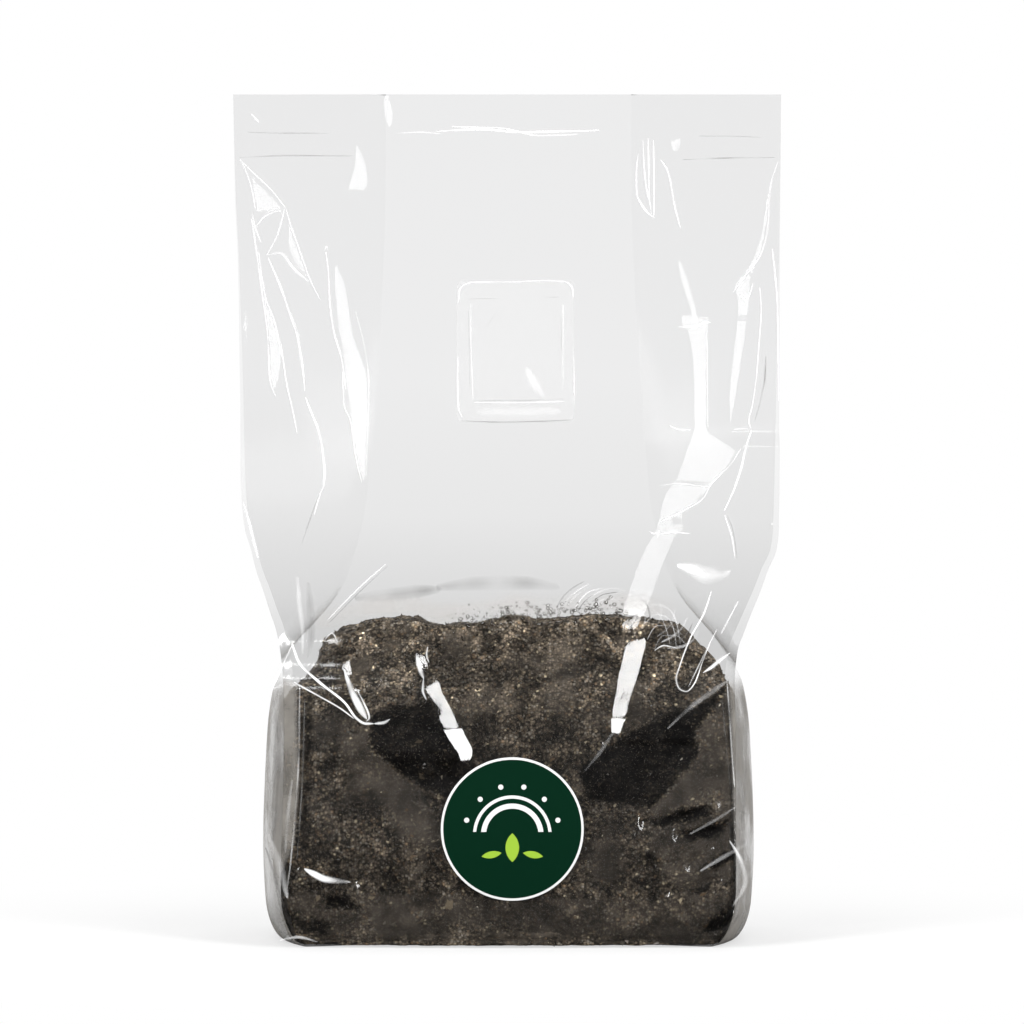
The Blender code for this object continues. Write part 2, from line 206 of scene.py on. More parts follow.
# Lit flanks of the front film's folds. Each mirrors the strip lamp on its side and is a list of rows
# from the top down: height over the table, left edge and right edge, in millimetres. The side comes
# first in each.
LEFT, RIGHT = -1, 1
FRONT_BANDS = [
    # on the left of the bag
    (RIGHT, 307.3, -46.1, -43.5, 302.6, -46.1, -41.7, 298.9, -45.7, -41.7, 296.7, -44.6, -42.8),
    (RIGHT, 291.6, -55.9, -55.2, 287.3, -56.3, -53.4, 283.6, -56.6, -51.9, 278.2, -58.1, -51.2, 272.7,
        -59.6, -51.2, 270.2, -60.7, -55.6),
    (RIGHT, 284, -98.4, -97, 281.8, -97.6, -94.9, 278.2, -95.7, -91.6, 273.4, -94, -86.9, 269.8, -93.3,
        -84, 266.9, -92.7, -81.8, 265.8, -92.5, -82),
    (RIGHT, 265.4, -82.2, -80.9, 261.4, -81.4, -80, 256.3, -81.1, -78.3, 251.9, -80.9, -76.7, 248.7, -80,
        -75.4, 245.4, -78.5, -74.3, 242.8, -76.7, -73.4, 239.9, -74.1, -72.1),
    (RIGHT, 246.5, -91.6, -90.3, 231.9, -89.6, -88, 225.7, -88.7, -85.8, 219.9, -87.8, -83.6, 213.7,
        -87.4, -82.9, 207.9, -87.4, -82.7, 203.5, -87.1, -83.2, 199.8, -86.2, -84.3),
    (RIGHT, 228.3, -87.2, -85.8, 223.5, -86.9, -84, 216.2, -85.8, -82.5, 213.7, -84.7, -82.5),
    (RIGHT, 248.7, -88.2, -87, 245.4, -86.9, -85.4, 239.2, -84.3, -82.5, 233.4, -82.3, -80.3, 228.6,
        -80.7, -78.5, 219.9, -78.1, -75.6, 207.9, -76, -74.5, 199.8, -74.9, -73.6),
    (RIGHT, 245.4, -63.9, -62.1, 239.9, -63.9, -59.6, 234.8, -63.6, -58.5, 229, -63.2, -57.7, 219.9,
        -62.1, -56.3, 214.4, -60.8, -54.1, 208.6, -60.1, -52.3, 205.3, -60.1, -51.4, 198, -58.8, -51.2,
        190, -57.7, -51.2, 181.6, -56.6, -51.4, 170.7, -54.6, -51.5, 166.2, -53.2, -51.9),
    (RIGHT, 101.5, -59.8, -56.6, 98.4, -59.6, -55.7, 96.3, -58.6, -54.8, 91.6, -57.4, -51.8, 87.8, -56.2,
        -50.4, 84.4, -54.4, -49.6, 82.1, -52.6, -49.8),
    (RIGHT, 104.2, -33.6, -29.4, 100, -33.6, -27.2, 95.3, -31.6, -24.2, 91.8, -30.6, -23.2, 88, -28.6,
        -20.8, 83, -26.4, -18.4, 77.8, -23.8, -15.5, 73, -21.4, -12.9, 69.5, -19.2, -11.6, 68, -17.8,
        -12.8),
    # on the right of the bag
    (LEFT, 246.5, 61.8, 63.9, 239.9, 62.8, 66.5, 232.6, 65.4, 68.3, 228.6, 67.2, 69.4),
    (LEFT, 224.3, 62.8, 73.4, 221.7, 63.9, 73.2, 219.5, 65.8, 72.7, 210.8, 67.2, 72.5, 198, 67.2, 72.5,
        188.9, 66.9, 72.7),
    (LEFT, 281.8, 97.1, 98.5, 272, 94.5, 96, 258.5, 92.7, 94.5, 250.1, 89.8, 92.7, 244.3, 86.2, 90.9,
        239.9, 82.5, 88.7, 235.5, 82, 88.3, 232.6, 83.6, 88.7, 225.3, 83.1, 87.4, 213.7, 81.8, 85.8,
        199.1, 80, 83.4, 187.1, 80.3, 81.2),
    (LEFT, 290.6, 58.1, 65.8, 288, 59.9, 62.8),
    (LEFT, 187.1, 67.6, 70.9, 181.6, 65, 79.2, 178.4, 63.9, 84.3, 173.6, 62.1, 81.1, 168.5, 60.7, 77.8,
        164.4, 57, 74.3, 159.7, 55.5, 70.7, 156.1, 54.8, 67.8, 153.2, 54.4, 59.9, 150.7, 53.7, 55.2),
    (LEFT, 148.9, 53.2, 65.7, 145.3, 50.4, 60.6, 139.5, 47.8, 57.6, 133.7, 45.4, 55, 127.9, 43.2, 53,
        121.8, 41, 50.6, 113, 40, 46.4),
    (LEFT, 107.4, 41.4, 50, 104.5, 41.1, 49, 98.1, 39.2, 47.4, 91.6, 38, 45.4, 84.9, 36.6, 43.2, 80.2,
        36.2, 42, 77, 36.4, 40.4),
]

# The fill's own sides in the photo: height over the table and reach from the middle, in millimetres
FILL_LEFT = [(0, 84), (24, 92), (60, 95), (84, 90), (92, 81), (98, 74.5), (104, 70.5), (114, 68), (120, 62)]
FILL_RIGHT = [
    (0, 84), (24, 92), (60, 95), (84, 92), (92, 86), (96, 83.5), (101, 81), (108, 75.5), (113, 70),
    (120, 62),
]

# Top of the fill in the photo: place across and height over the table, in millimetres
FILL_TOP = [
    (-100, 110), (-67, 113.6), (-58.4, 115), (-54, 116.6), (-48.6, 118.2), (-33.4, 119), (-29.8, 117),
    (-26.5, 115.8), (-14, 116.1), (-5.6, 117.5), (1.7, 119), (13.2, 118), (30, 119.6), (40.5, 119.2),
    (60, 117), (74.7, 111), (100, 108),
]
CROWN_LEVEL = 118.66 * MM
MIST_HIGH = 8.5 * MM
MIST_LEFT, MIST_RIGHT = (-72 * MM, -64 * MM), (48 * MM, 64 * MM)

# Where the film clings to the fill and veils it, or stands off and shows it crisply over painted shadow on
# the fill: how much it clings, and the corners of the area as x and height in millimetres. Later areas lie
# over earlier ones.
CLING_EDGE = 1.6 * MM
CLING_AREAS = [
    # facet left of the label
    (0.85, -61.7, 75, -48.5, 77.8, -31.5, 56.5, -20.1, 36.9, -27.9, 35.1, -45.7, 52.9, -58.2, 63.6),
    # foot
    (0.75, -75.6, 20.9, 68.2, 17.3, 83.1, 24.4, 81.7, 1.7, -79.1, 1.7),
    # right face
    (0.85, 55.4, 78.5, 81.2, 91.6, 79.9, 24.4, 64.6, 15.5, 46.8, 36.9, 51.1, 48.6, 64.6, 63.6),
    # left face
    (0.5, -74.2, 88.5, -61.7, 79.6, -59.9, 52.9, -74.2, 31.6),
    # right of the label
    (0.6, 29, 49.4, 52.2, 42.9, 46.8, 24.4, 29, 15.5),
    # slope
    (0.25, -24.5, 109.5, 40, 113.1, 32.6, 83.2, -10.1, 74.3),
    # left slope
    (0.3, -64, 109.5, -39.2, 117.1, -28.1, 102.4, -29.7, 88.5, -42.4, 91.6, -55, 102.4),
    # dark left of the bar
    (0, -48.5, 84.2, -24.3, 88.5, -10.8, 63.6, -20.8, 52.9, -36.8, 60, -50, 72.5),
    # dark right of the label
    (0, 24.8, 63.6, 41.5, 76, 64.6, 86.7, 68.2, 68.9, 51.1, 50.1, 28.3, 52.9),
    # notches
    (0, 56.8, 80, 68.2, 86.7, 78.7, 93.8, 76, 87.8, 65.3, 75.7, 59.6, 75),
    (0, 48.6, 43.7, 61.1, 50.1, 73.5, 51.5, 72.5, 47.2, 53.9, 42.6),
    (0, 61.1, 41.5, 68.2, 43.7, 79.9, 45.8, 74.6, 39.4, 64.6, 37.6),
    (0, 70, 29.4, 76, 34, 83.8, 36.9, 80.6, 31.6, 73.5, 27.6),
    (0, 58.2, 19.8, 68.2, 22.3, 76, 24.8, 70.3, 19.1),
    (0, 68.9, 8.1, 76, 13.1, 83.1, 15.9, 78.1, 6.6, 71, 5.2),
    (0, 44, 35.1, 50.4, 33.7, 56.8, 30.1, 50.4, 30.8),
    (0, -67.8, 19.8, -58.2, 19.5, -51.4, 14.5, -63.5, 13.1),
    # bottom left
    (0.1, -84.5, 16.3, -75.6, 12, -63.5, 8.4, -65.3, 4.5, -82, 5.2),
    # left edge
    (0.1, -73.8, 88.5, -69.9, 86.7, -70.6, 35.1, -74.2, 35.1),
]
HAZY_EDGES = [
    # left strip
    (-86.2, 98.1, -76.1, 93, -74.9, 60, -76.7, 36.9, -81.3, 27.3, -86.3, 24.4),
    # right strip
    (79.4, 93.8, 80.3, 56.5, 81.7, 31.6, 83.8, 23, 88.1, 24.4, 88.7, 95.2),
]

# Light of the fill in its painted shadow, where the film stands off it, against the rest
PAINTED_SHADOW_SHARE = 0.08

# Cling of the film to the sides and the back of the fill, least and most, which also sets the fill's
# painted shade there
GUESSED_CLING = (0.12, 0.34)

# Places of the earth's tones on the ramps of the block and of its loose crumbs
BLOCK_TONES = (0.0, 0.3, 0.55, 0.8, 0.9, 0.95, 0.985)
CRUMB_TONES = (0.0, 0.2, 0.55, 0.78, 0.91, 0.95, 0.99)

# Haze of the left and the right strip, and its colour there and where the film clings
HAZY_SHARES = (1.2, 1.25)
STRIP_HAZE = (0.21, 0.197, 0.178, 1)
CLING_HAZE = (0.36, 0.34, 0.32, 1)

# Light that the film passes from the top of the fill up to clear film, that of the gussets, and the
# heights over which the front's shine falls off
MIST_TINTS = [(0.0, (0.825,) * 3), (0.13, (0.85,) * 3), (0.45, (0.905,) * 3)]
GUSSET_TINT = (0.992, 0.992, 0.992, 1)
SHINE_FALL = (108 * MM, 128 * MM)
BACK_MIRROR = 0.15  # share of the front's shine that is left on the back of the film
WHITE = (1, 1, 1, 1)

# Roughness of the film's gloss where it clings, where it is hazy and in the gussets
CLING_MATT, HAZE_MATT, GUSSET_MATT = 0.16, 0.3, 0.14

# How the film's fine waves are drawn out along its length
DRAWN = (1.0, 1.0, 0.3)

# The heat seal's weld lines: half width, fall to the right, and height
SEAL_LINE = 0.9 * MM
SEAL_FALL = 0.006
SEAL_RISE = 0.5 * MM

# How a fold fades past its ends, by a length and by a share of its width, and the length over which
# the film sinks back beside it
END_FADE = 2.2 * MM
END_SHARE = 1.1
SINK_LENGTH = 16 * MM

# Lean over which a lit flank turns from the low strip lamp to the high one, and that lamp's size and
# the place it faces
HIGH_LEAN = (0.42, 0.55)
HIGH_SIZE = (0.13, 0.8)
HIGH_AIM = (0, -0.04, 0.1)

# Waves of the film's slack to a metre, across and up
SLOW_SLACK, FINE_SLACK = (32, 17), (75, 42)

# Steepest slope across the plain film at heights in millimetres
CALM_SLOPES = [(0, 0.06), (105, 0.06), (155, 0.11), (309, 0.11)]

# Fine fold lines of the front film, raised beads whose colour is painted light: how much painted highlight
# each carries, or painted shade where it is below 0, whether it lies on the patch, and its points as place
# across, height and width in millimetres
FOLD_LINES = [
    # painted highlights and shade of brushed, damp ridges by the right of the fill's top edge
    (0.2, 0, 55, 108.6, 0.6, 58.6, 110.4, 1.2, 62.4, 113.6, 1, 64.6, 117.4, 0.5),
    (0.16, 0, 53.4, 110.6, 0.5, 56.8, 113, 1, 59.4, 116.6, 0.9, 60.2, 120.4, 0.4),
    (0.14, 0, 51.6, 112.6, 0.5, 54.2, 115.8, 0.9, 55.2, 119.4, 0.7, 54.6, 122.6, 0.4),
    (0.2, 0, 57, 106.4, 0.5, 61.8, 106.9, 1.3, 66.4, 109.4, 0.9, 68.6, 113, 0.4),
    (-0.3, 0, 56.4, 107.6, 0.5, 60.6, 109, 1, 64.6, 112, 0.9, 66.4, 115.4, 0.4),
    (-0.28, 0, 49.6, 113.6, 0.4, 51, 117.4, 0.9, 50.2, 121.4, 0.8, 47.4, 124.6, 0.4),
    (0.14, 0, 47.8, 113, 0.4, 49.4, 117, 0.8, 48.4, 120.8, 0.7, 45.8, 123.6, 0.3),
    (0.2, 0, 18.6, 119.8, 0.4, 20.6, 123, 0.8, 24.4, 126.6, 0.8, 29.4, 129.6, 0.4),
    (-0.24, 0, 17.4, 120.6, 0.4, 19.2, 124, 0.8, 22.8, 127.6, 0.8, 27.4, 130.4, 0.4),
    # neck over the left of the fill
    (-0.2, 0, -72.4, 130, 1.4, -71.6, 120, 3.2, -71, 110, 2.8, -72.2, 103, 1),
    (0.15, 0, -76.4, 132, 1.2, -75.4, 121, 2.2, -74.2, 112, 1.8, -74, 104, 0.8),
    # highlight on the right shoulder
    (0.34, 0, 60.9, 136.2, 1.5, 66, 134.8, 4.6, 72, 132.6, 7, 77, 132.6, 4.4, 80.4, 134.2, 1.2),
    # light on the patch
    (0.14, 1, 6.6, 208, 2, 9.6, 202, 4.2, 13, 197.2, 2),
    (0.1, 1, -11, 191.8, 3, 4, 191.8, 4.2, 19, 192.2, 3),
    # streaks on the left slope, and the head of the bar beside them
    (0.5, 0, -58.9, 99.2, 0.7, -57.6, 95.4, 1.8, -55.6, 90.6, 2.6, -53, 85.6, 3, -50.4, 81.6, 1.2),
    (0.75, 0, -58.8, 101.6, 0.4, -59.4, 99.4, 1, -58, 98, 0.5),
    (0.6, 0, -54.8, 92.6, 0.3, -52, 88, 0.8, -49.6, 82, 0.9, -50.8, 80.6, 0.4),
    (0.5, 0, -33.2, 104.6, 0.6, -32.2, 101.6, 2.2, -31.4, 98.2, 2, -30.2, 95.6, 0.7),
    (0.55, 0, -29, 107, 0.4, -29.4, 104, 0.9, -28.4, 101.2, 0.5),
    (0.35, 0, -30.4, 95.8, 0.4, -30.6, 91.8, 1.3, -29.2, 88.2, 0.6),
    # shadow over the fill
    (-0.24, 0, -55.5, 124.3, 2.5, -44, 125.4, 5, -34, 126.6, 5, -24, 127.6, 2.5),
    (-0.24, 0, -26, 128, 2.5, -10, 129.6, 5.5, 4, 129.8, 5.5, 18.6, 128.2, 2.5),
    # folded side edges
    (0.16, 0, -85.6, 41, 1, -81.4, 29.4, 3.4, -78.6, 17.8, 1.4),
    (-0.3, 0, -86.4, 36, 0.8, -83.2, 26.4, 1.6, -80.2, 15.6, 0.8),
    (-0.22, 0, -84, 88, 1.2, -81.8, 70, 3.4, -82.6, 52, 3.4, -84, 38, 1.4),
    (0.12, 0, -77, 60, 0.8, -78.6, 46, 1.8, -79.4, 34, 0.9),
    (-0.2, 0, 83.6, 90, 1, 85, 74, 2.6, 84.2, 56, 2.2, 83, 44, 1),
    (0.3, 0, 78.6, 38.6, 0.6, 82.6, 31.6, 1.8, 84.4, 24, 2, 80, 15, 0.8),
    (-0.25, 0, 82, 12, 0.8, 78, 7, 1.8, 72, 4.6, 0.8),
    # wedge and triangle, upper left
    (0.35, 0, -98.4, 284.6, 0.2, -94.3, 280.5, 0.5, -86.9, 273.4, 0.5, -81.5, 266.6, 0.3),
    (0.3, 0, -98.4, 284.6, 0.2, -95.8, 279.4, 0.4, -93.4, 271.2, 0.5, -92.6, 266, 0.2),
    (0.25, 0, -92.6, 265.7, 0.2, -87.6, 266.3, 0.5, -82, 266.7, 0.3),
    (0.4, 0, -92.3, 259.7, 0.3, -89.1, 263.6, 0.7, -84.2, 265.8, 0.3),
    (0.4, 0, -93.7, 264.5, 0.3, -92.9, 260.3, 1, -90.5, 253.8, 0.3),
    (0.4, 0, -82, 266.3, 0.3, -84.4, 257.3, 0.7, -88.5, 249.3, 0.3),
    (0.35, 0, -88.4, 249.4, 0.5, -83.9, 250.2, 1.2, -78.3, 244.2, 1.4, -72.6, 239.2, 0.5),
    (0.35, 0, -81.5, 266.3, 0.3, -79.8, 260.7, 0.5, -76.5, 251.4, 0.5, -72.3, 239.9, 0.5, -68.7, 232.8,
        0.2),
    # long streaks, left
    (0.7, 0, -94, 262.7, 0.3, -92, 249.6, 0.6, -89.9, 234.7, 0.6, -87.8, 219.8, 0.5, -87.3, 210.9, 0.5,
        -86.7, 203.1, 0.7, -84.7, 197.2, 0.2),
    (0.45, 0, -91.4, 250.3, 0.2, -88.8, 234, 0.5, -85.7, 225.8, 0.5, -83.8, 218.3, 0.5, -82.7, 211.6,
        0.3),
    (0.65, 0, -82.9, 216.8, 0.2, -81.7, 207.9, 0.4, -80.6, 201.2, 0.4, -78.6, 192.7, 0.4, -76.8, 183.8,
        0.2),
    (0.6, 0, -87.9, 248.4, 0.3, -83.6, 238.4, 0.7, -79.9, 228, 0.7, -76.8, 218.3, 0.6, -74.7, 206.4, 0.5,
        -74.2, 199.3, 0.2),
    (0.75, 0, -73.9, 197.2, 0.3, -71.7, 191.5, 0.8, -69.3, 185.6, 0.9, -67.5, 177.4, 0.9, -66.8, 169.2,
        0.9, -67.2, 165.2, 0.5),
    (0.5, 0, -66.5, 165.8, 0.3, -68.2, 162.4, 0.5, -69.7, 157.3, 0.5, -70.6, 153.6, 0.2),
    (-0.2, 0, -67.3, 163.9, 0.3, -69.7, 159, 0.6, -72.2, 152.1, 0.7, -75, 143.7, 0.3),
    # wide band, left
    (0.55, 0, -67.5, 251.1, 0.3, -66.5, 252.9, 0.4, -66.2, 250.8, 0.3),
    (0.5, 0, -66.9, 250.8, 0.3, -65.9, 243.6, 0.5, -65.2, 231.7, 0.6, -63.7, 221.3, 0.7, -60.7, 210.9,
        0.7, -59.1, 199.7, 0.3),
    (0.25, 0, -55.9, 228.7, 0.2, -52.2, 213.9, 0.4, -50.9, 201.9, 0.5, -51.2, 185.6, 0.5, -51.8, 167.7,
        0.2),
    (0.35, 0, -60.4, 206.4, 0.3, -59.8, 194.5, 0.6, -57.4, 188.5, 0.5, -55.3, 175.1, 0.5, -53.2, 165.8,
        0.2),
    # left edge over the waist
    (0.7, 0, -96.3, 158.7, 0.3, -94.4, 152.8, 0.8, -92.5, 145.4, 1.2, -90.7, 138.8, 0.7),
    # V of folds and what hangs from it, upper right
    (0.6, 0, 47.6, 286.8, 0.2, 46.9, 280.1, 0.5, 47, 272.7, 0.7, 49.7, 266.6, 0.9, 53, 263.3, 0.3),
    (0.6, 0, 49.3, 291.6, 0.2, 49.7, 282.3, 0.5, 50.6, 274.1, 0.5, 52.2, 267.2, 0.3),
    (0.65, 0, 51.2, 292.5, 0.2, 51.4, 282.3, 0.6, 51.6, 271.2, 0.4, 52.4, 264.5, 0.2),
    (0.65, 0, 53.1, 291.6, 0.2, 53.3, 282.3, 0.6, 53.4, 270.4, 0.5, 53.3, 262.7, 0.2),
    (0.5, 0, 55.7, 284.4, 0.3, 57.2, 282.6, 0.6, 58.9, 278.6, 0.5, 61, 267.2, 0.7, 63.1, 259.1, 0.3),
    # bars and long folds, right
    (0.6, 0, 62.1, 223.1, 0.3, 67.9, 222.8, 0.7, 71.7, 224.6, 0.9, 73.8, 224.6, 0.3),
    (0.5, 0, 72.3, 221.3, 0.2, 72.5, 212.4, 0.4, 72.5, 199, 0.4, 72.6, 185.6, 0.2),
    (0.5, 0, 58.6, 186.9, 0.3, 62.4, 185.4, 0.6, 66.7, 185.3, 0.3),
    (0.4, 0, 98.8, 283.8, 0.3, 95.9, 274.1, 0.7, 95, 260, 0.7, 92.6, 250.3, 0.7, 85.7, 240.7, 0.5, 82.2,
        235.9, 0.7),
    (0.6, 0, 84.7, 234.7, 0.3, 86.6, 232.9, 0.7, 88.7, 236.5, 0.5, 89.3, 239.2, 0.2),
    (0.6, 0, 96.5, 251.8, 0.3, 97.5, 242.9, 0.6, 98.2, 231.7, 0.5, 98.4, 213.9, 0.4, 98.5, 196, 0.2),
    (0.5, 0, 91.8, 237.7, 0.2, 92.3, 230.2, 0.4, 91.4, 216.8, 0.4, 90.4, 204.9, 0.4, 88.9, 194.5, 0.4,
        87.5, 188.2, 0.5, 88.6, 185.3, 0.2),
    (-0.35, 0, 93.9, 212.4, 0.3, 93.5, 204.9, 0.8, 91.7, 195.7, 0.8, 89.6, 188.2, 0.3),
    # large lit facet, right
    (0.4, 0, 81.9, 185.4, 0.3, 84.7, 185.7, 0.5, 88.1, 185.6, 0.3),
    (0.75, 0, 88.6, 185.3, 0.3, 86.3, 179.3, 0.9, 84.4, 171.4, 0.9, 81.9, 163.9, 0.8, 78.2, 155.8, 0.5),
    (0.35, 0, 84.3, 178.4, 0.3, 80.7, 172.9, 0.7, 73.3, 165.2, 0.7, 70.4, 160.2, 0.7, 64.4, 156.4, 0.7,
        55.3, 151.9, 0.3),
    (0.3, 0, 55.6, 165, 0.3, 61.2, 165.8, 0.7, 68.6, 165, 0.5, 72.7, 164.4, 0.3),
    # under the large facet
    (0.6, 0, 51.1, 148.4, 0.3, 52.9, 147.5, 0.8, 54.7, 148.4, 0.5, 53.8, 146, 0.2),
    (0.5, 0, 55.3, 147.5, 0.3, 60.4, 148.1, 0.8, 65.9, 147.5, 0.3),
    (0.5, 0, 78.3, 154.3, 0.3, 80.1, 149.1, 0.6, 81.4, 144, 0.5, 82, 138.3, 0.3),
    (-0.25, 0, 79.2, 154.3, 0.2, 81.3, 148.7, 0.5, 82.8, 138.3, 0.3),
    # waist over the fill, left
    (0.95, 0, -77.9, 108.1, 0.9, -75.1, 101.3, 1.1, -68.6, 95.2, 1.1, -58.5, 87.4, 0.9, -53.9, 81.7, 1.1,
        -50.7, 80, 1.1, -47.8, 80, 0.7),
    (0.5, 0, -47.8, 80, 0.7, -44.6, 80.3, 1.4, -42.1, 81.7, 0.7),
    (0.6, 0, -76.9, 94.5, 0.6, -67.5, 89.5, 0.7, -59.9, 85.3, 0.7, -54.9, 81.7, 0.5),
    (0.45, 0, -66.1, 109.5, 0.4, -63.6, 111.7, 0.6, -61.1, 107.7, 0.4),
    # beside the left edge of the fill
    (0.16, 0, -74.7, 93.8, 0.6, -74.5, 74.3, 0.8, -75.6, 52.9, 0.7, -77.4, 31.6, 0.7, -78.8, 20.9, 0.6),
    (-0.5, 0, -72.7, 88.5, 0.6, -73.1, 67.1, 0.9, -74.2, 45.8, 0.8, -75.2, 31.6, 0.6),
    # left shoulder, silver spot and foot
    (0.6, 0, -84.7, 91.6, 0.6, -81.9, 98.4, 0.8, -77.9, 107.4, 0.7),
    (0.25, 0, -84.4, 92, 0.7, -79, 93.8, 1.4, -74, 93, 0.7),
    (0.5, 0, -72.7, 28.4, 0.7, -69.2, 26.6, 2.5, -65.3, 24.8, 2.7, -60.6, 24.1, 2, -56, 23.7, 0.7),
    (0.35, 0, -81.3, 2.7, 0.5, -74.9, 3.8, 1.4, -67.8, 2, 0.5),
    # ear over the fill, right
    (0.55, 0, 73.3, 126.8, 0.4, 70.7, 119.2, 0.8, 65.4, 109.9, 0.7, 61.5, 100.2, 0.7, 60.1, 95.5, 0.9,
        61.1, 92.3, 0.9, 63.6, 91.2, 0.7, 66.5, 93.8, 0.6, 69.7, 101.6, 0.6, 73, 109.5, 0.4),
    (0.55, 0, 79.8, 104.9, 0.4, 75.8, 102, 1.6, 72.6, 99.5, 1.4, 69.7, 97.7, 0.4),
    (0.3, 0, 75.1, 113.1, 0.5, 69.4, 102.4, 0.7, 64.4, 92.7, 0.5),
    (0.35, 0, 83, 123.2, 0.7, 76.5, 111.3, 0.9),
    # right edge of the fill and its notches
    (0.22, 0, 78.3, 95.2, 0.5, 79.2, 77.8, 0.7, 80.6, 57.2, 0.6),
    (-0.4, 0, 76.4, 88.5, 0.5, 77.8, 70.7, 0.7, 79.2, 56.5, 0.5),
    (0.13, 0, 56.8, 78.2, 0.7, 64.6, 85.3, 1.8, 73, 91.2, 2.2, 78.3, 94.8, 1.1),
    (0.15, 0, 68.2, 27.6, 0.7, 76, 32.3, 1.8, 85.6, 37.6, 1.1),
    (0.1, 0, 64.6, 40.8, 0.7, 72.5, 45.1, 1.4, 81.7, 50.8, 0.7),
    # painted highlights of brushed-looking ridges over the right of the fill
    (0.4, 0, 52.5, 105.6, 0.3, 55.8, 107.4, 0.7, 61.1, 106.3, 0.3),
    (0.16, 0, 47.6, 118.9, 0.4, 53, 122.1, 0.6, 58.4, 120, 0.6, 60.8, 114.5, 0.6, 61.9, 107.7, 0.4),
    (0.14, 0, 49.3, 115.3, 0.4, 53.4, 118.5, 0.5, 57.3, 117.4, 0.5, 59.7, 112.4, 0.5, 60.4, 106.7, 0.4),
    (0.12, 0, 43.6, 113.8, 0.4, 47.6, 117.4, 0.5, 52.6, 119.6, 0.5, 55.8, 116, 0.5, 58.3, 107.7, 0.4),
    (0.16, 0, 50, 109.5, 0.4, 53.6, 114.5, 0.5, 57.2, 114.5, 0.5, 62.9, 111, 0.4),
    (0.12, 0, 52.5, 105.9, 0.4, 55.8, 111, 0.5, 60.1, 111, 0.5, 64, 107.7, 0.4),
    # painted highlights and shade of damp ridges over the fill
    (0.2, 0, 23.7, 120, 0.4, 26.2, 123.9, 0.7, 29.5, 126.8, 0.6, 34.2, 127.9, 0.4),
    (0.22, 0, 28.8, 123.9, 0.4, 32.7, 126.5, 0.7, 37.8, 127.9, 0.7, 43.2, 126.5, 0.4),
    (0.18, 0, 21.5, 122.1, 0.4, 25.1, 125.7, 0.5, 30.2, 129, 0.5),
    (0.16, 0, 31.7, 122.1, 0.4, 36, 124.3, 0.6, 41.1, 122.9, 0.4),
    (-0.45, 0, 24.8, 119.2, 0.4, 27.3, 122.9, 0.5, 30.9, 125.7, 0.4),
    (-0.4, 0, 30.2, 122.9, 0.4, 34.6, 125.7, 0.5, 39.6, 126.5, 0.4),
    # tail of the right bar
    (0.05, 0, 37.2, 76.8, 1.1, 33.3, 70.7, 1.6, 26.9, 62.9, 0.7),
    # fold at the left neck
    (0.3, 0, -44.3, 136.6, 0.4, -54.1, 127.9, 0.7, -65.4, 116.3, 0.6),
    (-0.25, 0, -43.6, 135.9, 0.3, -53.3, 127, 0.5, -64.7, 115.4, 0.4),
    # heat seal at the head: painted shade along its weld lines, and painted highlights across it
    (-0.22, 0, -95.6, 294.6, 0.3, -81.4, 294.2, 0.6, -65.8, 294.2, 0.3),
    (-0.28, 0, -98.5, 285.3, 0.3, -79.6, 286, 0.7, -57, 285.8, 0.3),
    (-0.2, 0, 69.8, 293.1, 0.3, 80.7, 293.1, 0.5, 92.4, 292.7, 0.3),
    (-0.3, 0, 63.9, 284.5, 0.3, 80.7, 285.1, 0.7, 97.8, 285.3, 0.3),
    (0.8, 0, -26.4, 294.9, 0.4, -10.4, 295.7, 0.8, 4.2, 294.6, 0.9, 18.8, 294.9, 0.8, 33.3, 295.3, 0.4),
    (0.55, 0, -20.6, 296.7, 0.3, -3.1, 296.2, 0.5, 11.5, 293.3, 0.5, 25.3, 293.8, 0.3),
    (0.35, 0, -40.3, 294.2, 0.3, -32.2, 294.6, 0.5, -24.9, 294, 0.3),
    (0.6, 0, -94.5, 301.5, 0.4, -92.7, 299.7, 0.9, -91.3, 298.2, 0.4),
    # rim and weld of the patch, in painted highlights and shade
    (0.42, 1, -18.2, 231.9, 0.3, -18, 235.9, 0.6, -16.2, 238.5, 0.6, -12.6, 239.4, 0.6, 4.9, 239.6, 0.5),
    (0.45, 1, 4.2, 239.7, 0.3, 13.3, 240, 0.7, 20.6, 239.6, 0.7, 23.3, 237.4, 0.6, 23.7, 233.7, 0.3),
    (0.42, 1, -18.4, 212.2, 0.3, -18.5, 201.7, 0.6, -18.1, 193.3, 0.6, -16.6, 189.3, 0.4),
    (0.3, 1, 23.7, 213.7, 0.3, 24, 204.2, 0.5, 23.9, 194.4, 0.4),
    (-0.3, 1, -17.3, 188.6, 0.3, -3.1, 188.1, 0.7, 11.5, 188.4, 0.6, 23.1, 188.9, 0.3),
    (0.25, 1, -13.8, 231.9, 0.3, -13.7, 218.1, 0.5, -13.3, 206.4, 0.6, -12.9, 196.2, 0.4),
    (-0.14, 1, -14.6, 229, 0.2, -14.4, 221.7, 0.4, -14.2, 210.8, 0.3, -14, 199.8, 0.4),
    (-0.2, 1, 19.1, 227.2, 0.2, 19.3, 219.9, 0.4, 19.3, 213.7, 0.2),
    (0.2, 1, 20, 231.2, 0.3, 20, 221.7, 0.5, 19.9, 210.8, 0.3, 20, 200.6, 0.4),
    (-0.17, 1, -12.6, 196, 0.3, 4.2, 196, 0.5, 20.2, 196.6, 0.3),
    (0.36, 1, -12.6, 195.3, 0.3, 4.2, 195.2, 0.6, 20.2, 195.7, 0.3),
    (-0.12, 1, -14.7, 233.2, 0.2, -8.6, 233.4, 0.4, -4.2, 233.4, 0.2),
    (-0.12, 1, 13.3, 233.7, 0.2, 16.9, 233.9, 0.4, 19.1, 234.1, 0.2),
    (-0.12, 1, -8.2, 222.8, 0.2, -6.4, 225.3, 0.3, -4.9, 227.9, 0.2),
]

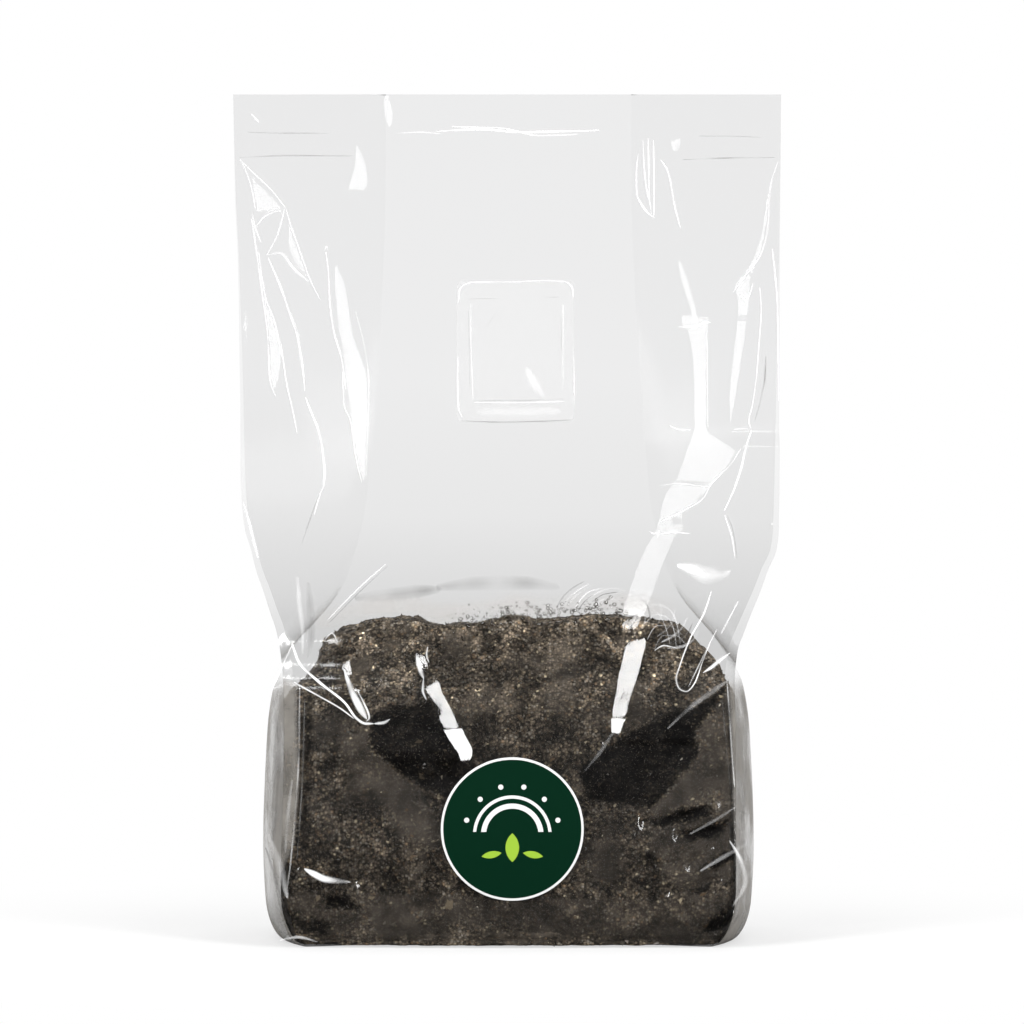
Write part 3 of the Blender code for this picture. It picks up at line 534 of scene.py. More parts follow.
# Sharp furrows pinched into the film: (points, half width, depth)
FRONT_FURROWS = [
    ([(48, 45), (61, 46.5), (74, 51.5)], 3, 1.4),
    ([(60, 40.6), (71.7, 41.5), (81, 45.5)], 2.6, 1.2),
    ([(64.5, 29.5), (72, 36.5)], 2.6, 1.2),
    ([(57.5, 20.3), (75.5, 25.3)], 2.4, 1.2),
    ([(68.5, 6.5), (84, 18)], 2.6, 1.2),
    ([(-74, 29), (-54, 24)], 2.4, 1.2),
]


def along(points, x, z):
    """How far each place lies beside a polyline of x, height points, and how far past its ends."""
    points = np.array(points, float) * MM
    best = np.full(x.shape, 1e9)
    beside, past = np.zeros(x.shape), np.zeros(x.shape)
    for (ax, az), (bx, bz) in zip(points[:-1], points[1:]):
        span = math.hypot(bx - ax, bz - az)
        dx, dz = (bx - ax) / span, (bz - az) / span
        reached = (x - ax) * dx + (z - az) * dz
        t = np.clip(reached, 0, span)
        ox, oz = x - ax - t * dx, z - az - t * dz
        distance = np.hypot(ox, oz)
        closer = distance < best
        best = np.where(closer, distance, best)
        beside = np.where(closer, ox * dz - oz * dx, beside)
        past = np.where(closer, np.abs(reached - t), past)
    return beside, past


def lit_slope(x, depth, lean, side):
    """Slope across the film at which a place mirrors the strip lamp of a side to the camera.

    It eases off where the film also leans back, so that the mirrored ray keeps its direction.
    Film that leans far back mirrors the high lamp in place of the low one."""
    stage = bpy.context.scene.grow_bag_stage
    steep = ramp(*HIGH_LEAN, np.abs(lean))
    turn = np.radians(between(steep, stage.strip_turn, stage.high_turn))
    away = between(steep, stage.strip_distance, stage.high_distance)
    to_lamp = np.arctan2(side * away * np.sin(turn) - x, away * np.cos(turn) - depth)
    to_camera = np.arctan2(stage.aim_x - x, stage.distance - depth)
    turned = np.tan(to_lamp + to_camera)
    return (1 - np.sqrt(1 + turned**2 * (1 - np.minimum(lean**2, 0.9)))) / turned


def band_cover(x, z, bands, mirrored):
    """Share of each cell that a band covers, and the side of the band's lamp."""
    wide, level = np.diff(x, axis=1), z[:, 0]
    cover, way = np.zeros(wide.shape), np.zeros(wide.shape)
    for side, *rows in bands:
        high, low_x, high_x = (np.array(rows).reshape(-1, 3)[::-1] * MM).T
        if mirrored < 0:
            low_x, high_x = -high_x, -low_x
        low_edge = np.interp(level, high, low_x)[:, None]
        high_edge = np.interp(level, high, high_x)[:, None]
        past = np.maximum(np.maximum(high[0] - level, level - high[-1]), 0)[:, None]
        strength = np.clip(1 - past / (END_FADE + END_SHARE * (high_edge - low_edge)), 0, 1)
        inside = np.minimum(high_edge, x[:, 1:]) - np.maximum(low_edge, x[:, :-1])
        share = np.clip(inside / wide, 0, 1) * strength
        way = np.where(share > cover, side * mirrored, way)
        cover = np.maximum(cover, share)
    return cover, way


def fold_relief(x, z, depth, bands, mirrored=1):
    """How far the folds stand out of the plain film, in metres, for a grid of rows and columns.

    In a band the film takes the slope that mirrors its lamp. Away from the bands it sinks back."""
    wide = np.diff(x, axis=1)
    middle, deep = (x[:, 1:] + x[:, :-1]) / 2, (depth[:, 1:] + depth[:, :-1]) / 2
    plain = np.diff(depth, axis=1) / wide
    cover, way_lit = band_cover(x, z, bands, mirrored)
    start = int(np.argmin(np.abs(x[0])))
    steepest = curve_through([(h * MM, slope) for h, slope in CALM_SLOPES], z[:, 0])
    relief = np.zeros(x.shape)
    for _ in range(3):
        lean = np.gradient(depth + relief, axis=0) / np.gradient(z, axis=0)
        lean = (lean[:, 1:] + lean[:, :-1]) / 2
        right, left = (lit_slope(middle, deep, lean, side) for side in (RIGHT, LEFT))
        slope = np.where(way_lit > 0, right, left)
        push = cover * (slope - plain)
        soften(push)
        for way, stop in ((1, x.shape[1] - 1), (-1, 0)):
            for i in range(start, stop, way):
                cell = i if way > 0 else i - 1
                wanted = way * plain[:, cell] - relief[:, i] / SINK_LENGTH
                calm = np.clip(wanted, -steepest, steepest) - way * plain[:, cell]
                step = way * push[:, cell] + calm * (1 - cover[:, cell])
                relief[:, i + way] = relief[:, i] + step * wide[:, cell]
        soften(relief)
    spread = np.pad(cover, ((0, 0), (1, 1)))
    return relief, np.maximum(spread[:, 1:], spread[:, :-1])


def soften(rows):
    """Evens each row with the one over it and the one under it."""
    rows[1:-1] = (rows[:-2] + 4 * rows[1:-1] + rows[2:]) / 6


def furrow_relief(x, z, furrows):
    """Soft furrows pressed into the film along polylines, each with a half width and a depth."""
    relief = np.zeros(x.shape)
    for points, half, depth in furrows:
        beside, past = along(points, x, z)
        near = np.clip(1 - np.hypot(beside, past * 1.5) / (half * MM), 0, 1)
        relief -= depth * MM * near**1.3
    return relief


def undulation(x, z, seed):
    """Slow slack of the film between its creases, in metres."""
    values = np.empty(x.shape)
    flat = values.ravel()
    for i, (a, b) in enumerate(zip(x.ravel(), z.ravel())):
        fine = noise.noise(Vector((a * FINE_SLACK[0], b * FINE_SLACK[1], seed + 9)))
        flat[i] = noise.noise(Vector((a * SLOW_SLACK[0], b * SLOW_SLACK[1], seed))) + 0.4 * fine
    return values


def slack_waves(s, x, z, seed, rise, least, settings):
    """Slack of a panel: least low down, full over a rise, none at its creases or under the seal."""
    slack = undulation(x, z, seed) * settings.slack * between(ramp(*rise, z), least, 1)
    return slack * ((1 - ramp(0.95, 1.0, np.abs(s))) * (1 - ramp(HEAD - 6 * MM, HEAD, z)))


def flat_places(x, z):
    """1 on the film that stays flat, under the label and under the patch."""
    label = np.hypot(x - LABEL_CENTRE.x, z - LABEL_CENTRE.z) / LABEL_RADIUS
    keep = 1 - ramp(1.02, 1.12, label)
    aside = np.abs(x - PATCH_CENTRE.x) / (PATCH_HIGH.x - PATCH_LOW.x) * 2
    over = np.abs(z - PATCH_CENTRE.z) / (PATCH_HIGH.z - PATCH_LOW.z) * 2
    return np.maximum(keep, 1 - ramp(1.05, 1.35, np.maximum(aside, over)))


def seal_relief(x, z):
    """The heat seal's two weld lines, which slope a little to the right."""
    levels = [level - SEAL_FALL * (x + 0.1) for level in (SEAL_TOP, HEAD)]
    return SEAL_RISE * sum(np.exp(-(((z - level) / SEAL_LINE) ** 2)) for level in levels)


def front_relief(s, x, z, depth, settings):
    """Folds, furrows and slack of the front panel, and the share of each place that a fold covers."""
    relief, cover = fold_relief(x, z, depth, FRONT_BANDS)
    relief = relief * settings.fold_strength + furrow_relief(x, z, FRONT_FURROWS)
    slack = slack_waves(s, x, z, 3.0, (70 * MM, 120 * MM), 0.35, settings)
    return (relief + slack) * (1 - flat_places(x, z)) + seal_relief(x, z), cover


def back_relief(s, x, z, depth, settings):
    """The same for the back panel, with a third of the front's folds, mirrored and half as deep."""
    relief, cover = fold_relief(x[:, ::-1], z, depth[:, ::-1], FRONT_BANDS[::3], -1)
    slack = slack_waves(s, x, z, 14.0, (60 * MM, 100 * MM), 0.6, settings)
    return relief[:, ::-1] * 0.5 + slack + seal_relief(x, z), cover[:, ::-1]


def in_area(corners, x, z):
    """1 inside a polygon of x, height corners in millimetres, falling to 0 over a soft edge."""
    corners = np.array(corners).reshape(-1, 2) * MM
    inside = np.zeros(x.shape, bool)
    nearest = np.full(x.shape, 1e9)
    for (ax, az), (bx, bz) in zip(corners, np.roll(corners, -1, axis=0)):
        crosses = ((az > z) != (bz > z)) & (x < (bx - ax) * (z - az) / (bz - az + 1e-12) + ax)
        inside ^= crosses
        share = ((x - ax) * (bx - ax) + (z - az) * (bz - az)) / ((bx - ax) ** 2 + (bz - az) ** 2)
        share = np.clip(share, 0, 1)
        away = np.hypot(x - ax - share * (bx - ax), z - az - share * (bz - az))
        nearest = np.minimum(nearest, away)
    return np.clip(0.5 + np.where(inside, nearest, -nearest) / CLING_EDGE, 0, 1)


def front_cling(x, z):
    """How closely the front film clings to the fill behind it, from 0 to 1."""
    cling = np.full(x.shape, 0.3)
    for value, *corners in CLING_AREAS:
        cling = between(in_area(corners, x, z), cling, value)
    return cling


def clinging(x, z, cover):
    """Cling of the front film, and the haze of its folded side edges."""
    cling = front_cling(x, z)
    cling *= 1 - ramp(96 * MM, 106 * MM, z) * 0.6
    cling *= (1 - ramp(112 * MM, 116 * MM, z)) * (1 - np.clip(2 * cover, 0, 1))
    haze = np.zeros(x.shape)
    for share, corners in zip(HAZY_SHARES, HAZY_EDGES):
        haze = np.maximum(haze, share * in_area(corners, x, z))
    return cling * (1 - np.clip(haze, 0, 1)), haze


def misting(x, z):
    """Mist on the front film, in a band just over the fill's top edge."""
    over = z - fill_top(x)
    band = ramp(-0.8 * MM, 0.8 * MM, over) * (1 - ramp(0.45 * MIST_HIGH, MIST_HIGH, over))
    return band * ramp(*MIST_LEFT, x) * (1 - ramp(*MIST_RIGHT, x))


def columns(settings):
    """The film's columns round the bag: panel, and place across it."""
    fine, step = settings.fine_cell, settings.cell
    half = 100 * MM
    outer = np.linspace(1, CALM_X / half, round((half - CALM_X) / fine) + 1)
    inner = np.linspace(CALM_X / half, 0, round(CALM_X / (2 * step)) + 1)[1:]
    shares = np.concatenate([outer, inner])
    # the back and the sides take larger cells
    behind = round(0.2 / (2.6 * step))
    side = round(0.062 / (4 * step))
    out = [("front", s) for s in np.concatenate([-shares, shares[::-1][1:]])]
    out += [("right_front", t) for t in np.linspace(1, 0, side + 1)]
    out += [("right_back", t) for t in np.linspace(0, 1, side + 1)[1:]]
    out += [("back", s) for s in np.linspace(1, -1, behind + 1)]
    out += [("left_back", t) for t in np.linspace(1, 0, side + 1)]
    out += [("left_front", t) for t in np.linspace(0, 1, side + 1)[1:]]
    return out


def film_grid(settings):
    """Points of the film as an array of rows, from the foot to the head, by columns round it.

    Gives also the panel of each column, and the marks that the film carries at each point."""
    cols = columns(settings)
    foot = FOOT_RISE * (1 - np.cos(np.linspace(0, math.pi / 2, 12)))
    rows = np.concatenate([foot, np.arange(FOOT_RISE, HEIGHT, settings.cell * 1.1)[1:], [HEIGHT]])
    strip = 0.95 * MM * (1 - 0.8 * ramp(SEAL_TOP, SEAL_TOP + 2 * MM, rows))
    grid = np.zeros((len(rows), len(cols), 3))
    grid[:, :, 2] = rows[:, None]
    panels = np.array([name for name, _ in cols])
    places = np.array([place for _, place in cols])
    z = rows[:, None]
    drawn = foot_inset(z)
    left, right = left_crease(rows)[:, None] - drawn, right_crease(rows)[:, None] - drawn

    lifts = {}
    marks = {name: np.zeros(grid.shape[:2]) for name in ("cling", "haze", "mist")}
    for name, belly, sign in (("front", FRONT_BELLY, -1), ("back", BACK_BELLY, 1)):
        at = panels == name
        s = places[at][None, :] * np.ones_like(z)
        x, level = s * np.where(s < 0, left, right), z * np.ones_like(s)
        depth = panel_depth(s, level, belly)
        relief = front_relief if name == "front" else back_relief
        raised, cover = relief(s, x, level, depth, settings)
        if name == "front":
            marks["cling"][:, at], marks["haze"][:, at] = clinging(x, level, cover)
            marks["mist"][:, at] = misting(x, level)
        grid[:, at, 0], grid[:, at, 1] = x, sign * (depth + raised)
        lifts[sign] = {1: raised[:, s[0].argmax()][:, None], -1: raised[:, s[0].argmin()][:, None]}

    nose = side_x(rows)[:, None] - drawn
    power = side_power(rows)[:, None]
    start = crease_y(rows)[:, None] - drawn - strip[:, None]
    for name, crease, side, sign in (
        ("right_front", right, 1, -1),
        ("right_back", right, 1, 1),
        ("left_front", left, -1, -1),
        ("left_back", left, -1, 1),
    ):
        at = panels == name
        t = places[at][None, :]
        grid[:, at, 0] = side * (crease + (nose - crease) * (1 - t**power))
        seen = between(ramp(0, 0.4, t), 0.6, 1) if sign < 0 else between(t, 0.6, 0.2)
        marks["haze"][:, at] = seen * HAZY_SHARES[side > 0] * (1 - ramp(88 * MM, 98 * MM, z))
        seal = seal_relief(crease, z)
        grid[:, at, 1] = sign * (between(t, 0.25 * MM, start) + t * (lifts[sign][side] - seal))
    return grid, panels, marks


def foot_rows(grid, count):
    """Rows that close the foot, drawn in from its rim to the middle."""
    rim = grid[0]
    shares = np.cos(np.linspace(0, math.pi / 2, count + 1))[1:-1]
    return [rim * np.array([share, share, 1.0]) for share in shares[::-1]]


def arch_foot(points):
    """Lifts the middle of the foot's front and back edges off the table, as the fill draws it up."""
    x, y, z = points[..., 0], points[..., 1], points[..., 2]
    across = 1 - ramp(0, 1, np.abs(x) / CORNER_X)
    edge = ramp(12 * MM, 48 * MM, np.abs(y))
    low = 1 - ramp(0, 30 * MM, z)
    points[..., 2] = z + FOOT_ARCH * across * edge * low
    return points


def grid_faces(rows, cols, cyclic=True, first=0):
    """Quads of a grid of rows by columns of points, numbered from a first one."""
    row = first + np.arange(rows - 1)[:, None] * cols
    col = np.arange(cols if cyclic else cols - 1)[None, :]
    nxt = (col + 1) % cols
    return np.stack([row + col, row + nxt, row + cols + nxt, row + cols + col], -1).reshape(-1, 4).tolist()


def fan(middle, first, count, outward=False):
    """Triangles from a middle point to a ring of points."""
    ring = [(first + i, first + (i + 1) % count) for i in range(count)]
    return [(middle, a, b) if outward else (middle, b, a) for a, b in ring]


def add_piece(name, points, faces, material, replaces=()):
    """Makes a piece from points and faces, which rides on the bag and stands for CAD nodes."""
    mesh = bpy.data.meshes.new(name)
    mesh.from_pydata(np.asarray(points).reshape(-1, 3).tolist(), [], [tuple(f) for f in faces])
    mesh.validate()
    mesh.materials.append(material)
    mesh.shade_smooth()
    piece = bpy.data.objects.new(name, mesh)
    bpy.context.scene.collection.objects.link(piece)
    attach(piece, BODY)
    if replaces:
        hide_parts(*replaces)
    return piece


class Recipe:
    """Short hand for the nodes of a material, or of a world whose tree is given."""

    def __init__(self, name, tree=None, output="ShaderNodeOutputMaterial"):
        self.material = None
        if tree is None:
            self.material = bpy.data.materials.new(name)
            self.material.use_nodes = True
            tree = self.material.node_tree
        self.tree = tree
        self.tree.nodes.clear()
        self.output = self.add(output)

    def add(self, kind, settings=(), **inputs):
        """A node with its settings, fed by the names of its inputs."""
        node = self.tree.nodes.new(kind)
        for name, value in dict(settings).items():
            setattr(node, name, value)
        for name, value in inputs.items():
            self.feed(node.inputs[name.replace("_", " ")], value)
        return node

    def feed(self, socket, value):
        """Links an output to an input, or sets the input to a plain value."""
        if isinstance(value, bpy.types.NodeSocket):
            self.tree.links.new(value, socket)
        else:
            socket.default_value = value

    def row(self, kind, values, **settings):
        """A node fed by the order of its inputs. Gives its first output."""
        node = self.add(kind, settings)
        for socket, value in zip(node.inputs, values):
            self.feed(socket, value)
        return node.outputs[0]

    def math(self, operation, *values):
        """One step of arithmetic."""
        return self.row("ShaderNodeMath", values, operation=operation)

    def times(self, *values):
        """The product of all the values."""
        product = values[0]
        for value in values[1:]:
            product = self.math("MULTIPLY", product, value)
        return product

    def most(self, *values):
        """The largest of all the values."""
        largest = values[0]
        for value in values[1:]:
            largest = self.math("MAXIMUM", largest, value)
        return largest

    def remap(self, value, low, high, to_low=0.0, to_high=1.0, smooth=True):
        """A value carried from one range to another, in a smooth step or in a line."""
        kind = "SMOOTHSTEP" if smooth else "LINEAR"
        return self.row("ShaderNodeMapRange", (value, low, high, to_low, to_high), interpolation_type=kind)

    def position(self):
        """The place on the piece, in metres."""
        return self.add("ShaderNodeTexCoord").outputs["Object"]

    def split(self, vector):
        """The three parts of a place."""
        return self.add("ShaderNodeSeparateXYZ", Vector=vector).outputs

    def stored(self, name):
        """The value that the mesh carries at each point under a name."""
        return self.add("ShaderNodeAttribute", {"attribute_name": name}).outputs["Fac"]

    def noise(self, place, scale, detail, **more):
        """Cloudy noise, with scale clouds to a metre."""
        node = self.add("ShaderNodeTexNoise", Vector=place, Scale=scale, Detail=detail, **more)
        return node.outputs["Fac"]

    def ramp(self, factor, stops, interpolation="LINEAR"):
        """A colour picked by a factor from stops of a place and a colour."""
        node = self.add("ShaderNodeValToRGB", Fac=factor)
        node.color_ramp.interpolation = interpolation
        elements = node.color_ramp.elements
        while len(elements) < len(stops):
            elements.new(0.5)
        for element, (place, colour) in zip(elements, stops):
            element.position = place
            element.color = (*colour, 1)
        return node.outputs["Color"]

    def scaled(self, colour, factor):
        """A colour made lighter or darker by a factor."""
        node = self.add("ShaderNodeVectorMath", {"operation": "SCALE"}, Scale=factor)
        self.feed(node.inputs[0], colour)
        return node.outputs[0]

    def blend(self, share, first, second):
        """A colour at a share of the way from the first to the second."""
        node = self.add("ShaderNodeMix", {"data_type": "RGBA"})
        for name, value in (("Factor_Float", share), ("A_Color", first), ("B_Color", second)):
            self.feed(next(i for i in node.inputs if i.identifier == name), value)
        return next(o for o in node.outputs if o.identifier == "Result_Color")

    def bump(self, strength, distance, height):
        """Directions of a surface that a height makes uneven."""
        node = self.add("ShaderNodeBump", Strength=strength, Distance=distance, Height=height)
        return node.outputs["Normal"]

    def facing(self):
        """From 0 where the surface faces the viewer to 1 at its rim."""
        return self.add("ShaderNodeLayerWeight", Blend=0.5).outputs["Facing"]

    def shader(self, kind, **inputs):
        """A shader fed by the names of its inputs."""
        return self.add(kind, **inputs).outputs[0]

    def surface(self, colour, roughness, **more):
        """A solid surface of a colour and a roughness."""
        return self.shader("ShaderNodeBsdfPrincipled", Base_Color=colour, Roughness=roughness, **more)

    def mix(self, share, first, second):
        """A share of the second shader over the first."""
        return self.row("ShaderNodeMixShader", (share, first, second))

    def finish(self, shader):
        """Shows the shader. Gives the material."""
        self.tree.links.new(shader, self.output.inputs["Surface"])
        return self.material


def glossy_film(recipe, roughness, mirror, tint):
    """Thin clear film: it passes light with a faint tint and mirrors more at a glancing angle."""
    grazing = recipe.math("POWER", recipe.facing(), 4.0)
    share = recipe.math("ADD", recipe.times(grazing, recipe.math("SUBTRACT", 1.0, mirror)), mirror)
    drawn = recipe.row("ShaderNodeVectorMath", (recipe.position(), DRAWN), operation="MULTIPLY")
    normal = recipe.bump(0.35, 0.12 * MM, recipe.noise(drawn, 330.0, 3.0))
    gloss = recipe.surface(WHITE, roughness, Metallic=1.0, Normal=normal)
    return recipe.mix(share, recipe.shader("ShaderNodeBsdfTransparent", Color=tint), gloss)


def film_material(settings):
    """Front and back film, with mist over the fill and a faint veil where it clings to the fill."""
    recipe = Recipe("clear_film")
    place = recipe.position()
    _, y, z = recipe.split(place)
    mist_height = recipe.remap(z, MIST_LOW, MIST_TOP, smooth=False)
    tint = recipe.ramp(mist_height, [*MIST_TINTS, (1.0, settings.tint)])
    cling, haze = recipe.stored("cling"), recipe.stored("haze")
    dull = recipe.most(cling, haze)
    clung = recipe.remap(cling, 0.0, 0.5, settings.roughness, CLING_MATT)
    matt = recipe.most(clung, recipe.times(haze, HAZE_MATT))
    mirror = recipe.times(
        recipe.remap(z, *SHINE_FALL, settings.mirror, settings.upper_mirror),
        recipe.remap(y, 0.0, 30 * MM, 1.0, BACK_MIRROR),
        recipe.remap(dull, 0.0, 1.0, 1.0, 0.25, smooth=False),
    )
    film = glossy_film(recipe, matt, mirror, tint)
    clouds = recipe.noise(place, 60.0, 6.0, Roughness=0.6)
    patchy = recipe.remap(clouds, 0.3, 0.65, 0.55, 1.2)
    mist = recipe.times(recipe.stored("mist"), recipe.remap(clouds, 0.35, 0.6, 0.12, 0.38))
    mist = recipe.math("ADD", mist, recipe.times(cling, patchy, settings.veil))
    mist = recipe.math("ADD", mist, recipe.times(haze, patchy, settings.edge_haze))
    pale = recipe.shader("ShaderNodeBsdfDiffuse", Color=recipe.blend(dull, CLING_HAZE, STRIP_HAZE))
    return recipe.finish(recipe.mix(mist, film, pale))


def gusset_material(settings):
    """Film of the gussets, hazy where it is folded round the fill."""
    recipe = Recipe("clear_gusset")
    film = glossy_film(recipe, GUSSET_MATT, settings.gusset_mirror, GUSSET_TINT)
    clouds = recipe.noise(recipe.position(), 38.0, 5.0, Roughness=0.6)
    patchy = recipe.remap(clouds, 0.35, 0.62, 0.55, 1.25)
    share = recipe.times(recipe.stored("haze"), patchy, settings.edge_haze)
    return recipe.finish(recipe.mix(share, film, recipe.shader("ShaderNodeBsdfDiffuse", Color=STRIP_HAZE)))


def earth_tones(settings, places, lighter):
    """Ramp stops from wet dark earth to straw, with a lighter brown as the third."""
    brown = settings.brown
    light = tuple(lighter * c for c in brown)
    tones = (settings.dark, brown, light, settings.grey, settings.tan, settings.rust, settings.straw)
    return list(zip(places, tones))


def crumb_material(name, settings):
    """Moist dark compost: fine crumbs with painted shade in the gaps and hollows between them, woody
    specks, thin pale fibres, and the fill's painted light and shade.
    """
    recipe = Recipe(name)
    place = recipe.position()
    light = recipe.stored("light")
    fine = recipe.add("ShaderNodeTexVoronoi", Vector=place, Scale=settings.fine_scale)
    pick = recipe.add("ShaderNodeSeparateColor", Color=fine.outputs["Color"]).outputs[0]
    colour = recipe.ramp(pick, earth_tones(settings, BLOCK_TONES, 1.8), "CONSTANT")
    patches = recipe.noise(place, 110.0, 5.0, Roughness=0.6)
    # Painted shade in the gaps between the fine crumbs and in the block's hollows, times a random tone of
    # patches and the fill's painted light and shade
    shade = recipe.times(
        recipe.remap(fine.outputs["Distance"], 0.15, 0.65, 1.25, 0.5),
        recipe.remap(patches, 0.38, 0.62, 0.65, 1.4),
        recipe.remap(recipe.stored("hollow"), 0.25, 0.85, 1.3, 0.5),
        light,
    )
    strand = recipe.remap(recipe.noise(place, 900.0, 1.0, Distortion=2.5), 0.66, 0.71)
    colour = recipe.blend(strand, recipe.scaled(colour, shade), (*settings.grey, 1))
    # The wet mud's colour follows the fill's painted light and shade
    wash = recipe.scaled(settings.mud, recipe.remap(light, 0.0, 4.0, 0.25, 3.0, smooth=False))
    colour = recipe.blend(recipe.stored("mud"), colour, wash)
    normal = recipe.bump(1.0, 0.5 * MM, recipe.noise(place, 1300.0, 4.0, Roughness=0.7))
    wet = recipe.remap(patches, 0.35, 0.65, 0.75, 0.28)
    return recipe.finish(recipe.surface(colour, wet, Specular_IOR_Level=0.12, Normal=normal))


def length_property(name, about, default):
    """A length in metres."""
    return FloatProperty(name=name, description=about, default=default, unit="LENGTH")


def share_property(name, about, default):
    """A share from 0 to 1."""
    return FloatProperty(name=name, description=about, default=default, subtype="FACTOR")


def number_property(name, about, default):
    """A plain number."""
    return FloatProperty(name=name, description=about, default=default)


def colour_property(name, about, default):
    """A colour, as red, green and blue."""
    return FloatVectorProperty(name=name, description=about, default=default, subtype="COLOR")


class GrowBagFilm(PropertyGroup):
    """Sizes and finish of the film."""

    cell: length_property("Cell", "Height of the film's mesh cells", 1.35 * MM)
    fine_cell: length_property("Fine cell", "Width of the cells by the folds", 0.62 * MM)
    fold_strength: number_property("Folds", "Depth of the folds against the photo's", 1.0)
    slack: length_property("Slack", "Depth of the film's slow waves", 0.65 * MM)
    mirror: share_property("Mirror", "Share mirrored face on", 0.085)
    upper_mirror: share_property("Upper mirror", "Share mirrored face on over the fill", 0.0125)
    gusset_mirror: share_property("Gusset mirror", "Share mirrored by the gussets", 0.004)
    roughness: share_property("Roughness", "Of the film's gloss", 0.07)
    tint: colour_property("Tint", "Light passed by one layer", (0.93, 0.93, 0.931))
    veil: share_property("Veil", "Most haze where the film clings to the fill", 0.02)
    edge_haze: share_property("Edge haze", "Haze of the folded side edges", 0.56)


class GrowBagFolds(PropertyGroup):
    """Sizes and finish of the fold lines and droplets."""

    step: length_property("Step", "Length of the mesh cells along a fold", 0.7 * MM)
    bead: number_property("Bead", "Height of a fold against its width", 0.22)
    seat: length_property("Seat", "Fold in front of the film", 0.1 * MM)
    patch_seat: length_property("Patch seat", "Fold in front of the patch's film", 0.85 * MM)
    drops: IntProperty(name="Drops", description="Droplets over the fill's top edge", default=320)
    small_drop: length_property("Small drop", "Smallest radius", 0.2 * MM)
    large_drop: length_property("Large drop", "Largest radius", 0.8 * MM)


class GrowBagFill(PropertyGroup):
    """Sizes and colours of the substrate."""

    cell: length_property("Cell", "Mesh size of the block", 1.05 * MM)
    gap: length_property("Gap", "Film to fill", 0.8 * MM)
    crumbs: IntProperty(name="Crumbs", description="Loose crumbs in the surface", default=24000)
    fibres: IntProperty(name="Fibres", description="Thin pale fibres in the surface", default=9000)
    fine_scale: number_property("Fine scale", "Fine crumbs to a metre", 1050.0)
    dark: colour_property("Dark", "Wet hollows", (0.0125, 0.0102, 0.0078))
    brown: colour_property("Brown", "Main compost", (0.040, 0.032, 0.0235))
    grey: colour_property("Grey", "Grey specks", (0.082, 0.072, 0.059))
    tan: colour_property("Tan", "Woody specks", (0.108, 0.087, 0.060))
    rust: colour_property("Rust", "Rusty specks", (0.080, 0.055, 0.034))
    straw: colour_property("Straw", "Pale bits", (0.28, 0.235, 0.16))
    mud: colour_property("Mud", "Wet mud on the film", (0.044, 0.037, 0.030))


class GrowBagPatch(PropertyGroup):
    """Sizes and finish of the breathing patch."""

    weld_side: length_property("Weld at the sides", "Rim to weld line", 4.7 * MM)
    weld_end: length_property("Weld at the ends", "Rim to weld line", 7.2 * MM)
    corner: length_property("Corner", "Radius of the rim's corners", 2.4 * MM)
    thickness: length_property("Thickness", "Of the sheet", 0.3 * MM)
    whiteness: share_property("Whiteness", "Share of light it stops", 0.07)


class GrowBagLabel(PropertyGroup):
    """Sizes and colours of the round label."""

    thickness: length_property("Thickness", "Of the paper", 0.2 * MM)
    rim: length_property("Rim", "Width of the white rim", 0.85 * MM)
    green: colour_property("Green", "Ground", (0.0008, 0.0145, 0.0065))
    lime: colour_property("Lime", "Leaves", (0.23, 0.37, 0.035))
    white: colour_property("White", "Rim and marks", (0.6, 0.6, 0.6))


class GrowBagStage(PropertyGroup):
    """Camera, lamps and floor."""

    distance: length_property("Distance", "Camera to the bag's middle", 2.1)
    aim_height: length_property("Aim height", "Height of the level camera", 0.1554)
    aim_x: length_property("Aim x", "Sideways place of the camera", 1.3 * MM)
    lens: number_property("Lens", "Focal length in millimetres", 201.3)
    strip_turn: number_property("Strip turn", "Degrees from the camera's side to each strip", 34.0)
    high_turn: number_property("High turn", "Degrees to each high strip", 41.0)
    high_distance: length_property("High distance", "High strip to the bag", 0.78)
    high_height: length_property("High height", "Middle of the high strips", 1.38)
    strip_distance: length_property("Strip distance", "Strip light to the bag", 1.35)
    strip_width: length_property("Strip width", "Of each strip light", 0.3)
    key: number_property("Key", "Power of each front strip light", 20.0)
    high: number_property("High", "Power of each high strip light", 3.3)
    top: number_property("Top", "Power of the overhead light", 10.0)


class GROWBAG_OT_film(Operator):
    """Make the creased clear film of the bag"""

    bl_idname = "growbag.film"
    bl_label = "Film"

    def execute(self, context):
        settings = context.scene.grow_bag_film
        grid, panels, marks = film_grid(settings)
        base = foot_rows(grid, 14)
        rows = np.concatenate([np.array(base), grid])
        points = arch_foot(rows)
        count = points.shape[1]
        faces = grid_faces(len(points), count)
        first = len(points) * count
        middle = points[0].mean(axis=0)
        heights = points[:, 0, 2]
        points = np.concatenate([points.reshape(-1, 3), middle[None, :]])
        faces += fan(first, 0, count)
        faces.append(tuple(range(first - count, first)))
        film = add_piece("bag_film", points, faces, film_material(settings), ["bag"])
        film.data.materials.append(gusset_material(settings))
        below = np.zeros((len(base), count))
        for name, values in marks.items():
            add_values(film, name, np.append(np.concatenate([below, values]).ravel(), 0))
        paint_gussets(film.data, panels)
        sharpen_creases(film.data, panels, grid.shape[1], heights)
        return {"FINISHED"}


def paint_gussets(mesh, panels):
    """Gives the gussets' faces the second material."""
    corners = np.empty(len(mesh.loops), int)
    mesh.loops.foreach_get("vertex_index", corners)
    starts = np.empty(len(mesh.polygons), int)
    mesh.polygons.foreach_get("loop_start", starts)
    inner = np.char.find(panels.astype(str), "_") > 0
    column = corners[starts] % len(panels)
    following = corners[starts + 1] % len(panels)
    mesh.polygons.foreach_set("material_index", (inner[column] & inner[following]).astype(int))


